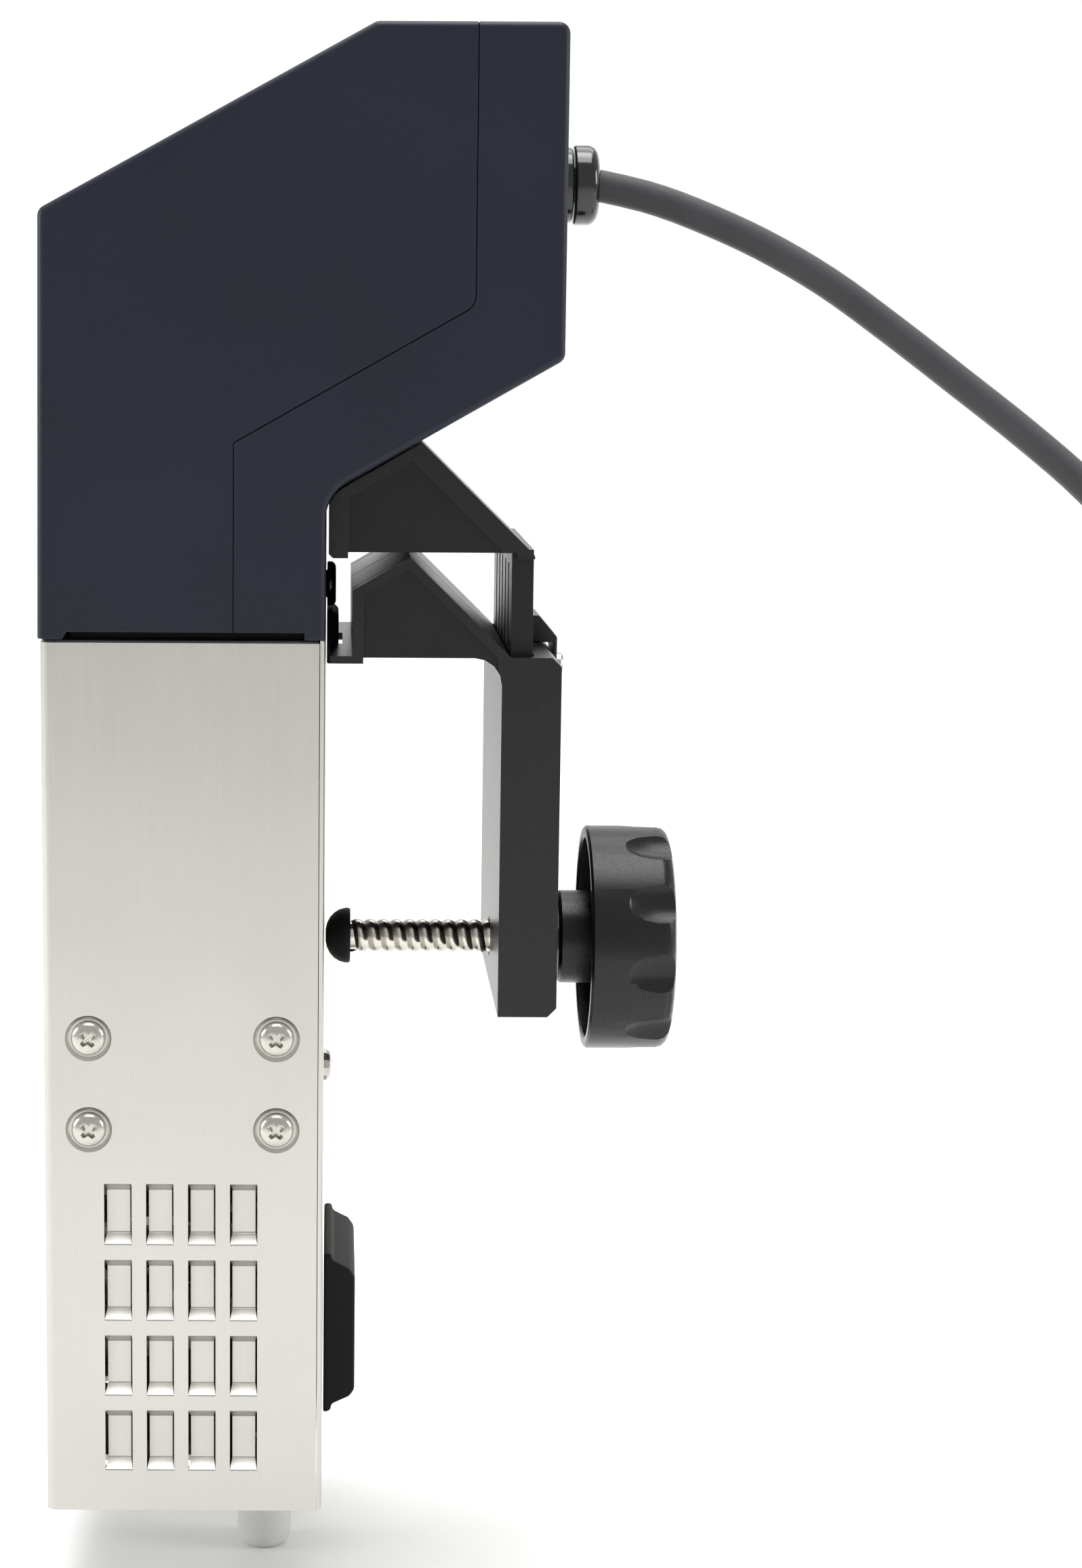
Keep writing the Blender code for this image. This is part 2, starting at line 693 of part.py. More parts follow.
def service_holes(target, level):
    """Holes through a plate for the shaft, the heater's legs and the probes."""
    reach = 6 * MM
    tools = [(rod_shape(SHAFT_RADIUS + RUN_GAP, -reach, reach), (SHAFT_X, 0, 0))]
    for x, y in leg_places():
        tools.append((rod_shape(HEATER_TUBE_RADIUS + GAP, -reach, reach), (x, y, 0)))
    for x, y in probe_places():
        tools.append((rod_shape(PROBE_RADIUS + GAP, -reach, reach), (x, y, 0)))
    cut(target, merged(tools), (0, 0, level))


def column_plates(steel, rubber):
    """Bottom plate, mounting plate at the top, and the gasket under the head."""
    bottom = inner_plate("bottom_plate", 0.6 * MM, SHEET * 1.25, steel)
    tools = [(rod_shape(NOZZLE_RADIUS + GAP, -5 * MM, 5 * MM, ROUND), (NOZZLE_X, 0, 0))]
    for x in (-56 * MM, -33.5 * MM):
        for y in (-36 * MM, -24 * MM, 24 * MM, 36 * MM):
            tools.append((rod_shape(4 * MM, -5 * MM, 5 * MM), (x, y, 0)))
    tools.append((rod_shape(9 * MM, -5 * MM, 5 * MM), (SHAFT_X, 0, 0)))
    cut(bottom, merged(tools))
    top = inner_plate("mounting_plate", COLUMN_HEIGHT - GAP - PLATE, PLATE, steel)
    service_holes(top, COLUMN_HEIGHT)
    front = -COLUMN_DEPTH + CORNER_TAB + SIDE_NOTCH_HEIGHT + GAP
    rear = -CORNER_TAB - GAP
    half = inner_limits()[1][1] - 2 * MM
    rim = 6 * MM
    level = COLUMN_HEIGHT
    thick = SIDE_NOTCH_HEIGHT
    ring = box_shape((front, -half, level), (rear, half, level + thick))
    gasket = add_object("column_gasket", ring, rubber)
    low = (front + rim, -half + rim, level - thick)
    cut(gasket, box_shape(low, (rear - rim, half - rim, level + 2 * thick)))


# ---------------------------------------------------------------- pump, heater and probes

def pump_bracket(steel):
    """Bent bracket that the side screws hold and the pump hangs from."""
    low, high = inner_limits()
    outer = high[1]
    base = BRACKET_BOTTOM
    top = base + BRACKET_HEIGHT
    outline = [(-outer, base), (outer, base), (outer, top), (outer - PLATE, top),
               (outer - PLATE, base + PLATE), (-outer + PLATE, base + PLATE),
               (-outer + PLATE, top), (-outer, top)]
    depth = high[0] - low[0] - 2 * MM
    middle = (high[0] + low[0]) / 2
    turn = (0, 0, math.pi / 2)
    bracket = add_object("pump_bracket", prism_shape(outline, depth), steel, (middle, 0, 0), turn)
    service_holes(bracket, base)
    tools = []
    for x, z in screw_places():
        hole = rod_shape(SCREW_SHANK_RADIUS + GAP, -COLUMN_WIDTH, COLUMN_WIDTH)
        tools.append((hole, (x, z, 0)))
    cut(bracket, merged(tools), (0, 0, 0), (math.pi / 2, 0, 0))


def standoffs(steel):
    """Three rods that hold the pump under the bracket."""
    low = PUMP_BOTTOM + PUMP_HEIGHT + GAP + PUMP_COVER + GAP
    high = BRACKET_BOTTOM - GAP
    for number in range(3):
        angle = 2 * math.pi * number / 3
        x = SHAFT_X + STANDOFF_CIRCLE * math.cos(angle)
        y = STANDOFF_CIRCLE * math.sin(angle)
        add_object("standoff_" + str(number + 1), rod_shape(STANDOFF_RADIUS, low, high), steel, (x, y, 0))


def slot_outline(x_low, x_high, low_radius, high_radius, steps=8):
    """Plan outline of two round ends of different size and the straight sides between them."""
    points = []
    for step in range(steps + 1):
        angle = math.pi / 2 + math.pi * step / steps
        points.append((x_low + low_radius * math.cos(angle), low_radius * math.sin(angle)))
    for step in range(steps + 1):
        angle = -math.pi / 2 + math.pi * step / steps
        points.append((x_high + high_radius * math.cos(angle), high_radius * math.sin(angle)))
    return points


def upright_prism(outline, low, high):
    """Extrude a plan outline from one height to another."""
    shape = bmesh.new()
    bottom = [shape.verts.new((x, y, low)) for x, y in outline]
    top = [shape.verts.new((x, y, high)) for x, y in outline]
    shape.faces.new(bottom)
    shape.faces.new(top)
    count = len(outline)
    for i in range(count):
        after = (i + 1) % count
        shape.faces.new((bottom[i], bottom[after], top[after], top[i]))
    return shape


def pump(plastic, bronze):
    """Pump casing with its chamber and outlet, its cover, and the shaft bush."""
    chamber = IMPELLER_RADIUS + 1.5 * MM
    outer = chamber + PUMP_WALL
    top = PUMP_BOTTOM + PUMP_HEIGHT
    socket = NOZZLE_RADIUS + GAP
    outline = slot_outline(SHAFT_X, NOZZLE_X, outer, socket + PUMP_WALL)
    casing = add_object("pump_housing", upright_prism(outline, PUMP_BOTTOM, top), plastic)
    floor = PUMP_BOTTOM + 2 * MM
    intake = 8 * MM
    profile = [(0, PUMP_BOTTOM - MM), (intake, PUMP_BOTTOM - MM), (intake, floor), (chamber, floor),
               (chamber, top + MM), (0, top + MM)]
    cut(casing, turned_shape(profile), (SHAFT_X, 0, 0))
    cut(casing, rod_shape(socket, PUMP_BOTTOM - MM, PUMP_BOTTOM + 8 * MM, ROUND), (NOZZLE_X, 0, 0))
    channel = box_shape((SHAFT_X, -3.6 * MM, floor + 4.7 * MM), (NOZZLE_X + 3 * MM, 3.6 * MM, top - 3.1 * MM))
    cut(casing, channel)
    low = top + GAP
    cover_outline = slot_outline(SHAFT_X, NOZZLE_X, outer, socket + PUMP_WALL)
    cover = add_object("pump_cover", upright_prism(cover_outline, low, low + PUMP_COVER), plastic)
    cut(cover, rod_shape(HUB_RADIUS + GAP, low - MM, low + PUMP_COVER + MM), (SHAFT_X, 0, 0))
    bore = SHAFT_RADIUS + RUN_GAP
    bush = tube_shape(bore, HUB_RADIUS, low, low + PUMP_COVER, SMALL_ROUND)
    add_object("shaft_bush", bush, bronze, (SHAFT_X, 0, 0))


def outlet_nozzle(frosted):
    """Frosted outlet tube with a rounded tip under the column."""
    radius = NOZZLE_RADIUS
    tip = -NOZZLE_DROP
    round_tip = 4.0 * MM
    top = PUMP_BOTTOM + 7.5 * MM
    profile = [(NOZZLE_BORE, tip)]
    for step in range(5):
        angle = math.pi / 2 * step / 4
        rim = radius - round_tip * (1 - math.sin(angle)) * 0.62
        profile.append((rim, tip + round_tip * (1 - math.cos(angle))))
    profile.extend([(radius, top), (NOZZLE_BORE, top), (NOZZLE_BORE, tip)])
    add_object("outlet_nozzle", turned_shape(profile), frosted, (NOZZLE_X, 0, 0))


def heater_coil(steel):
    """Tubular heater: one leg down the middle, the coil, and one leg up outside it."""
    points = []
    top = COLUMN_HEIGHT + 6 * MM
    inner_x = SHAFT_X - HEATER_LEG_RADIUS
    inner_low = HEATER_BOTTOM + 6 * MM
    for z in (top, (top + inner_low) / 2, inner_low):
        points.append((inner_x, 0.0, z))
    swing = 4
    for step in range(1, swing):
        share = step / swing
        angle = math.pi + HEATER_SWING * share
        radius = HEATER_LEG_RADIUS + (HEATER_COIL_RADIUS - HEATER_LEG_RADIUS) * share
        z = inner_low + (HEATER_BOTTOM - inner_low) * math.sin(share * math.pi / 2)
        points.append((SHAFT_X + radius * math.cos(angle), radius * math.sin(angle), z))
    per_turn = 12
    whole = (HEATER_TURNS + 1.25) * 2 * math.pi - math.pi - HEATER_SWING
    steps = round(per_turn * whole / (2 * math.pi))
    for step in range(steps + 1):
        angle = math.pi + HEATER_SWING + whole * step / steps
        z = HEATER_BOTTOM + HEATER_PITCH * step / per_turn
        x = SHAFT_X + HEATER_COIL_RADIUS * math.cos(angle)
        points.append((x, HEATER_COIL_RADIUS * math.sin(angle), z))
    coil_top = points[-1][2]
    for z in (coil_top + 5 * MM, (coil_top + top) / 2, top):
        points.append((SHAFT_X, HEATER_COIL_RADIUS, z))
    add_tube("heater_coil", points, HEATER_TUBE_RADIUS, 1, steel)


def add_tube(name, points, radius, sides, material):
    """Round tube through the points as a curve with filled ends."""
    curve = bpy.data.curves.new(name, "CURVE")
    curve.dimensions = "3D"
    spline = curve.splines.new("POLY")
    spline.points.add(len(points) - 1)
    for place, point in zip(spline.points, points):
        place.co = (point[0], point[1], point[2], 1.0)
    curve.bevel_depth = radius
    curve.bevel_resolution = sides
    curve.use_fill_caps = True
    curve.materials.append(material)
    item = bpy.data.objects.new(name, curve)
    item.parent = bpy.data.objects["assembly"]
    bpy.context.scene.collection.objects.link(item)
    return item


def probes(steel):
    """Temperature probe and level probe."""
    names = ("temperature_probe", "level_probe")
    depths = (62 * MM, 96 * MM)
    for name, depth, place in zip(names, depths, probe_places()):
        shape = rod_shape(PROBE_RADIUS, depth, COLUMN_HEIGHT + 4 * MM, SMALL_ROUND, 0.5 * MM)
        add_object(name, shape, steel, (place[0], place[1], 0))


# ---------------------------------------------------------------- rotor and motor

def bladed_outline(radius, hub, blades, half_blade):
    """Plan outline of a hub with straight radial blades."""
    points = []
    for blade in range(blades):
        turn = Matrix.Rotation(2 * math.pi * blade / blades, 2)
        root = math.sqrt(hub * hub - half_blade * half_blade)
        gap = Matrix.Rotation(math.pi / blades, 2)
        corners = (Vector((root, -half_blade)), Vector((radius, -half_blade)),
                   Vector((radius, half_blade)), Vector((root, half_blade)), gap @ Vector((hub, 0)))
        points.extend(tuple(turn @ corner) for corner in corners)
    return points


def rotor(steel, plastic):
    """Drive shaft with the impeller at its lower end and the cooling fan above the motor."""
    axis = add_empty("rotor_axis", (SHAFT_X, 0, 0), parent=bpy.data.objects["assembly"])
    fan_low = MOTOR_BOTTOM + MOTOR_HEIGHT + 3 * MM
    top = fan_low + FAN_HEIGHT + 3 * MM
    shaft = rod_shape(SHAFT_RADIUS, SHAFT_BOTTOM, top, SMALL_ROUND, 0.5 * MM)
    add_object("drive_shaft", shaft, steel, parent=axis)
    bore = SHAFT_RADIUS + GAP
    low = PUMP_BOTTOM + 5.5 * MM
    outline = bladed_outline(IMPELLER_RADIUS, HUB_RADIUS, IMPELLER_BLADES, 0.9 * MM)
    wheel = add_object("impeller", upright_prism(outline, low, low + IMPELLER_HEIGHT), plastic, parent=axis)
    cut(wheel, rod_shape(bore, low - MM, low + IMPELLER_HEIGHT + MM))
    outline = bladed_outline(FAN_RADIUS, HUB_RADIUS, FAN_BLADES, 1.0 * MM)
    blades = upright_prism(outline, fan_low, fan_low + FAN_HEIGHT)
    fan = add_object("cooling_fan", blades, plastic, parent=axis)
    cut(fan, rod_shape(bore, fan_low - MM, fan_low + FAN_HEIGHT + MM))


def motor(steel):
    """Motor can round the shaft and the stool that it stands on."""
    low = MOTOR_BOTTOM
    high = low + MOTOR_HEIGHT
    bore = SHAFT_RADIUS + RUN_GAP
    edge = 1.5 * MM
    profile = [(bore, low), (MOTOR_RADIUS - edge, low), (MOTOR_RADIUS, low + edge),
               (MOTOR_RADIUS, high - edge), (MOTOR_RADIUS - edge, high), (bore, high), (bore, low)]
    add_object("motor", turned_shape(profile), steel, (SHAFT_X, 0, 0))
    plate_low = low - GAP - PLATE
    half = STOOL_SIDE / 2
    floor = head_floor_top() + GAP
    reach = half + STOOL_WING
    shape = box_shape((SHAFT_X - half, -reach, plate_low), (SHAFT_X + half, reach, plate_low + PLATE))
    stool = add_object("motor_stool", shape, steel)
    for side in (-1, 1):
        y = side * (reach - MM)
        unite(stool, box_shape((SHAFT_X - half, y - MM, floor), (SHAFT_X + half, y + MM, plate_low + MM)))
    cut(stool, rod_shape(bore + MM, plate_low - MM, low + MM), (SHAFT_X, 0, 0))


# ---------------------------------------------------------------- head

def head_bottom():
    """Height of the head's lowest edge, a gap above the column."""
    return COLUMN_HEIGHT + GAP


def head_floor_top():
    """Height of the head floor's upper side."""
    return head_bottom() + HEAD_FLOOR


def underside_at(x):
    """Height of the slanted underside at an X position."""
    return UNDERSIDE_REAR_Z - (HEAD_REAR_X - x) * math.tan(SLANT)


def seam_corners(offset):
    """The seam's four points, moved by an offset towards the rear and down."""
    drop = offset / math.cos(SLANT)
    rear_x = SEAM_REAR_X + offset
    front_x = SEAM_FRONT_X + offset
    rise = math.tan(SLANT)
    rear_z = SEAM_BEND_Z + offset * rise - drop
    front_z = SEAM_BEND_Z - (SEAM_REAR_X - front_x) * rise - drop
    return (rear_x, HEAD_TOP), (rear_x, rear_z), (front_x, front_z), (front_x, head_bottom())


def neck_points():
    """Rounded inner corner between the slanted underside and the wall above the column."""
    lower = (0.0, head_bottom())
    corner = (0.0, underside_at(0.0))
    upper = (HEAD_REAR_X, UNDERSIDE_REAR_Z)
    return fillet(lower, corner, upper, NECK_FILLET)


def head_front_points():
    """The head's front bottom, front top and slope top corners."""
    x = -COLUMN_DEPTH - HEAD_OVERHANG_FRONT
    return (x, head_bottom()), (x + FRONT_DRAFT, FRONT_FACE_TOP), (PANEL_TOP_X, HEAD_TOP)


def head_outline():
    """Whole outline of the head, anticlockwise from its bottom front corner."""
    front_low, front_high, slope_top = head_front_points()
    points = [front_low, (0.0, head_bottom())]
    points.extend(neck_points())
    points.extend([(HEAD_REAR_X, UNDERSIDE_REAR_Z), (HEAD_REAR_X, HEAD_TOP), slope_top, front_high])
    return points


def cavity_shape():
    """Inside of the head: its outline less the wall, with a thicker floor."""
    inner = inset(head_outline(), HEAD_WALL)
    floor = head_floor_top()
    raised = [(x, max(z, floor)) for x, z in inner]
    return prism_shape(raised, HEAD_WIDTH - 2 * HEAD_WALL)


def floor_tools():
    """Service opening in the head's floor and the shadow notch on both sides."""
    low = head_bottom() - MM
    front = -COLUMN_DEPTH + CORNER_TAB
    rear = -CORNER_TAB
    notch = [(front, low), (rear, low), (rear, head_bottom() + SIDE_NOTCH_HEIGHT),
             (front + SIDE_NOTCH_HEIGHT, head_bottom() + SIDE_NOTCH_HEIGHT)]
    half = SERVICE_OPENING_WIDTH / 2
    high = head_floor_top() + MM
    opening = box_shape((SHAFT_X - 24.5 * MM, -half, low), (SHAFT_X + 26 * MM, half, high))
    return prism_shape(notch, HEAD_WIDTH * 1.2), opening


def front_housing(plastic):
    """Front shell of the head with the opening for the control panel."""
    seam = seam_corners(-GAP / 2)
    front_low, front_high, slope_top = head_front_points()
    outline = [front_low, seam[3], seam[2]]
    bend = fillet(seam[2], seam[1], seam[0], 4 * MM, 3)
    outline.extend(bend)
    outline.append(seam[0])
    outline.extend([slope_top, front_high])
    last = len(outline) - 1
    outer_sides = (0, last - 2, last - 1, last)
    housing = add_object("front_housing", prism_shape(outline, HEAD_WIDTH, outer_sides, HEAD_EDGE), plastic)
    cut(housing, cavity_shape())
    for tool in floor_tools():
        cut(housing, tool)
    opening = box_shape((-PANEL_LENGTH / 2 - GAP, -PANEL_WIDTH / 2 - GAP, -HEAD_WALL * 3),
                        (PANEL_LENGTH / 2 + GAP, PANEL_WIDTH / 2 + GAP, HEAD_WALL * 3))
    centre, tilt = panel_frame()
    cut(housing, opening, centre, (0, -tilt, 0))


def rear_housing(plastic):
    """Rear shell of the head: the slanted underside, the rear wall and the neck."""
    seam = seam_corners(GAP / 2)
    outline = [seam[3], (0.0, head_bottom())]
    outline.extend(neck_points())
    outline.extend([(HEAD_REAR_X, UNDERSIDE_REAR_Z), (HEAD_REAR_X, HEAD_TOP), seam[0]])
    outer_sides = tuple(range(0, len(outline) - 1))
    outline.extend(fillet(seam[0], seam[1], seam[2], 4 * MM, 3))
    outline.append(seam[2])
    housing = add_object("rear_housing", prism_shape(outline, HEAD_WIDTH, outer_sides, HEAD_EDGE), plastic)
    cut(housing, cavity_shape())
    for tool in floor_tools():
        cut(housing, tool)
    gland_hole = rod_shape(GLAND_RADIUS * 0.6 + GAP, -8 * MM, 8 * MM)
    cut(housing, gland_hole, (HEAD_REAR_X, 0, GLAND_Z), ALONG_X)
    half = VENT_WIDTH / 2
    slots = []
    for row in range(VENTS):
        slot = box_shape((-TOOL_REACH, -half, 0), (TOOL_REACH, half, VENT_HEIGHT))
        slots.append((slot, (HEAD_REAR_X, 0, VENT_BOTTOM + row * VENT_PITCH)))
    cut(housing, merged(slots))
    cap_hole = rod_shape(CAP_RADIUS * 0.6 + GAP, -6 * MM, 6 * MM)
    cut(housing, cap_hole, (0, 0, CAP_Z), ALONG_X)


# ---------------------------------------------------------------- controls

def panel_frame():
    """Centre of the sloping face and its tilt from level."""
    _, low, high = head_front_points()
    tilt = math.atan2(high[1] - low[1], high[0] - low[0])
    centre = ((low[0] + high[0]) / 2, 0, (low[1] + high[1]) / 2)
    return centre, tilt


def button_places():
    """Positions of the four buttons across the panel."""
    return [(BUTTON_OFFSET, BUTTON_PITCH * (i - 1.5)) for i in range(4)]


def window_box(window, margin, low, high):
    """Box as large as the panel's window less a margin all round."""
    (x_low, y_low), (x_high, y_high) = window
    return box_shape((x_low + margin, y_low + margin, low), (x_high - margin, y_high - margin, high))


def button_profile(stem_end, panel_low):
    """Half section of a button: stem, skirt under the panel, and the cap that stands proud."""
    stem = BUTTON_RADIUS - 3.5 * MM
    skirt = BUTTON_RADIUS + 1.6 * MM
    cap = BUTTON_RADIUS
    return [(0, stem_end), (stem, stem_end), (stem, panel_low - 1.6 * MM), (skirt, panel_low - 1.6 * MM),
            (skirt, panel_low - RUN_GAP), (cap, panel_low - RUN_GAP), (cap, BUTTON_PROUD - 0.8 * MM),
            (cap - 0.8 * MM, BUTTON_PROUD), (0, BUTTON_PROUD)]


def controls(black, glass, board, rubber):
    """Panel, display and boards under the sloping face, and the buttons that travel."""
    centre, tilt = panel_frame()
    frame = add_empty("panel_frame", centre, (0, -tilt, 0), bpy.data.objects["assembly"])
    half_l = PANEL_LENGTH / 2
    half_w = PANEL_WIDTH / 2
    sunk = -0.3 * MM
    low = sunk - PANEL_THICKNESS
    plate = box_shape((-half_l, -half_w, low), (half_l, half_w, sunk))
    panel = add_object("control_panel", plate, black, parent=frame)
    window = ((WINDOW_OFFSET - WINDOW_LENGTH / 2, -WINDOW_WIDTH / 2),
              (WINDOW_OFFSET + WINDOW_LENGTH / 2, WINDOW_WIDTH / 2))
    cut(panel, box_shape((window[0][0], window[0][1], low - MM), (window[1][0], window[1][1], MM)))
    holes = [(rod_shape(BUTTON_RADIUS + RUN_GAP, low - MM, MM), (x, y, 0)) for x, y in button_places()]
    cut(panel, merged(holes))
    pane = window_box(window, GAP, sunk - 1.6 * MM, sunk - 0.1 * MM)
    add_object("display_window", pane, glass, parent=frame)
    module_top = low - GAP
    module = window_box(window, -2 * MM, module_top - 4 * MM, module_top)
    add_object("display_module", module, board, parent=frame)
    board_top = module_top - 4 * MM - GAP
    circuit = box_shape((-half_l + 4 * MM, -half_w + 4 * MM, board_top - 1.6 * MM),
                        (half_l - 6 * MM, half_w - 4 * MM, board_top))
    add_object("control_board", circuit, board, parent=frame)
    profile = button_profile(board_top + 2 * MM, low)
    names = ("power_button", "down_button", "up_button", "timer_button")
    for name, (x, y) in zip(names, button_places()):
        add_object(name, turned_shape(profile, SMALL_ROUND), rubber, (x, y, 0), parent=frame)


def electronics(board, black, aluminium):
    """Power board with its relay and heat sink in the rear of the head."""
    half = BOARD_WIDTH / 2
    low = (BOARD_X, -half, BOARD_BOTTOM)
    circuit = box_shape(low, (BOARD_X + BOARD_THICKNESS, half, BOARD_BOTTOM + BOARD_HEIGHT))
    add_object("power_board", circuit, board)
    face = BOARD_X - GAP
    relay_low = BOARD_BOTTOM + 12 * MM
    low = (face - RELAY_DEPTH, -RELAY_FAR_Y, relay_low)
    case = box_shape(low, (face, RELAY_WIDTH - RELAY_FAR_Y, relay_low + RELAY_HEIGHT), MM, 1)
    add_object("relay", case, black)
    root = face - SINK_BASE
    tip = face - SINK_DEPTH
    outline = [(face, SINK_BOTTOM)]
    for fin in range(SINK_FINS):
        low_z = SINK_BOTTOM + fin * SINK_PITCH
        high_z = low_z + SINK_PITCH
        outline.extend([(root, low_z), (root, high_z - SINK_FIN), (tip, high_z - SINK_FIN), (tip, high_z)])
    outline.append((face, SINK_BOTTOM + SINK_FINS * SINK_PITCH))
    add_object("heat_sink", prism_shape(outline, SINK_WIDTH), aluminium, (0, SINK_Y, 0))


# ---------------------------------------------------------------- clamp

def roof_line(peak_x, peak_z, front_x, rear_x):
    """Heights of a roof's two slopes at its front and rear ends."""
    front_z = peak_z - (peak_x - front_x) * math.tan(ROOF_FRONT_ANGLE)
    rear_z = peak_z - (rear_x - peak_x) * math.tan(ROOF_REAR_ANGLE)
    return front_z, rear_z


def roof_core(outer, ribs, flange, low):
    """Outline inside a roof, a rib's thickness below both slopes and down to a level."""
    peak_x, peak_z, front_x = outer
    front_rib, rear_rib = ribs
    front_drop = front_rib / math.cos(ROOF_FRONT_ANGLE)
    rear_drop = rear_rib / math.cos(ROOF_REAR_ANGLE)
    rise = math.tan(ROOF_FRONT_ANGLE)
    fall = math.tan(ROOF_REAR_ANGLE)
    x = (rear_drop - front_drop) / (rise + fall)
    apex = (peak_x - x, peak_z - x * rise - front_drop)
    left = front_x + flange
    left_z = apex[1] - (apex[0] - left) * rise
    right_x = apex[0] + (apex[1] - low) / fall
    return [(left, low), (right_x, low), apex, (left, left_z)]


def core_to(core, limit):
    """Outline of a roof's inside, cut off at an X limit and carried on below the webs."""
    left, low = core[0]
    apex_x, apex_z = core[2]
    deep = low - TOOL_REACH
    limit_z = apex_z - (limit - apex_x) * math.tan(ROOF_REAR_ANGLE)
    return [(left, deep), (limit, deep), (limit, limit_z), core[2], core[3]]


def hollow_roof(target, core, recess, hollow_limit, web_limit):
    """Open the space between the end webs from below and sink the webs a little."""
    inner = CLAMP_WIDTH - 2 * (recess + WEB_THICKNESS)
    cut(target, prism_shape(core_to(core, hollow_limit), inner))
    for side in (-1, 1):
        y = side * (CLAMP_WIDTH / 2 - recess + TOOL_REACH)
        cut(target, prism_shape(core_to(core, web_limit), 2 * TOOL_REACH), (0, y, 0))


def arm_outline(bar_front):
    """Side outline of the arm: roof, front flange and the stub that the bar hangs from."""
    front_z, rear_z = roof_line(ARM_PEAK_X, ARM_PEAK_Z, ARM_FRONT_X, BAR_REAR_X)
    foot = ARM_FRONT_X + ARM_FLANGE - FOOT_STEP
    outline = [(ARM_FRONT_X + MM, ARM_FLANGE_BOTTOM), (foot, ARM_FLANGE_BOTTOM), (foot, ARM_WEB_BOTTOM),
               (bar_front + MM, ARM_WEB_BOTTOM), (bar_front + MM, ARM_FLANGE_BOTTOM),
               (BAR_REAR_X, ARM_FLANGE_BOTTOM)]
    peak = (ARM_PEAK_X, ARM_PEAK_Z)
    outline.extend(fillet((BAR_REAR_X, BAR_BOTTOM), (BAR_REAR_X, rear_z), peak, ARM_REAR_FILLET, 3))
    outline.append(peak)
    neck = fillet((ARM_FRONT_X, ARM_FLANGE_BOTTOM), (ARM_FRONT_X, front_z), peak, ARM_FRONT_FILLET, 3)
    outline.extend(reversed(neck))
    outline.append((ARM_FRONT_X, ARM_FLANGE_BOTTOM + MM))
    return outline


def clamp_arm(plastic):
    """Upper half of the clamp: a roof-shaped arm under the head and the bar that hangs from it."""
    bar_front = BAR_REAR_X - BAR_THICKNESS
    arm = add_object("clamp_arm", prism_shape(arm_outline(bar_front), CLAMP_WIDTH), plastic)
    core = roof_core((ARM_PEAK_X, ARM_PEAK_Z, ARM_FRONT_X), (ARM_FRONT_RIB, ARM_REAR_RIB), ARM_FLANGE,
                     ARM_WEB_BOTTOM)
    limit = bar_front - 3 * MM
    hollow_roof(arm, core, WEB_RECESS, limit, limit)
    half = BAR_WIDTH / 2
    root = ARM_FLANGE_BOTTOM + 2 * MM
    unite(arm, box_shape((bar_front, -half, BAR_BOTTOM), (BAR_REAR_X - BAR_STEP, half, root)))
    grooves = []
    for number in range(BAR_GROOVES):
        y = BAR_GROOVE_PITCH * (number - (BAR_GROOVES - 1) / 2)
        wide = BAR_GROOVE_WIDTH / 2
        low = (bar_front - MM, y - wide, BAR_BOTTOM - MM)
        high = (bar_front + BAR_GROOVE_DEPTH, y + wide, ARM_FLANGE_BOTTOM - 2 * MM)
        grooves.append((box_shape(low, high), (0, 0, 0)))
    cut(arm, merged(grooves))


def jaw_outline():
    """Side outline of the jaw: roof, lip and plate in one piece, anticlockwise."""
    front_z, _ = roof_line(JAW_PEAK_X, JAW_PEAK_Z, JAW_FRONT_X, PLATE_FRONT_X)
    meet_x = JAW_PEAK_X + (JAW_PEAK_Z - PLATE_TOP) / math.tan(ROOF_REAR_ANGLE)
    foot = JAW_FRONT_X + JAW_FLANGE - FOOT_STEP
    points = [(LIP_FRONT_X + 0.6 * MM, LIP_BOTTOM), (foot, LIP_BOTTOM), (foot, JAW_WEB_BOTTOM)]
    inner_corner = (PLATE_FRONT_X, JAW_WEB_BOTTOM)
    plate_foot = (PLATE_FRONT_X, PLATE_BOTTOM)
    points.extend(fillet((JAW_FRONT_X, JAW_WEB_BOTTOM), inner_corner, plate_foot, JAW_FILLET))
    points.extend([(PLATE_FRONT_X, PLATE_BOTTOM), (PLATE_REAR_X - PLATE_CHAMFER, PLATE_BOTTOM),
                   (PLATE_REAR_X, PLATE_BOTTOM + PLATE_CHAMFER), (PLATE_REAR_X, PLATE_TOP - PLATE_CHAMFER),
                   (PLATE_REAR_X - PLATE_CHAMFER, PLATE_TOP), (meet_x, PLATE_TOP), (JAW_PEAK_X, JAW_PEAK_Z),
                   (JAW_FRONT_X, front_z), (JAW_FRONT_X, LIP_TOP), (LIP_FRONT_X, LIP_TOP),
                   (LIP_FRONT_X, LIP_BOTTOM + 0.6 * MM)])
    return points


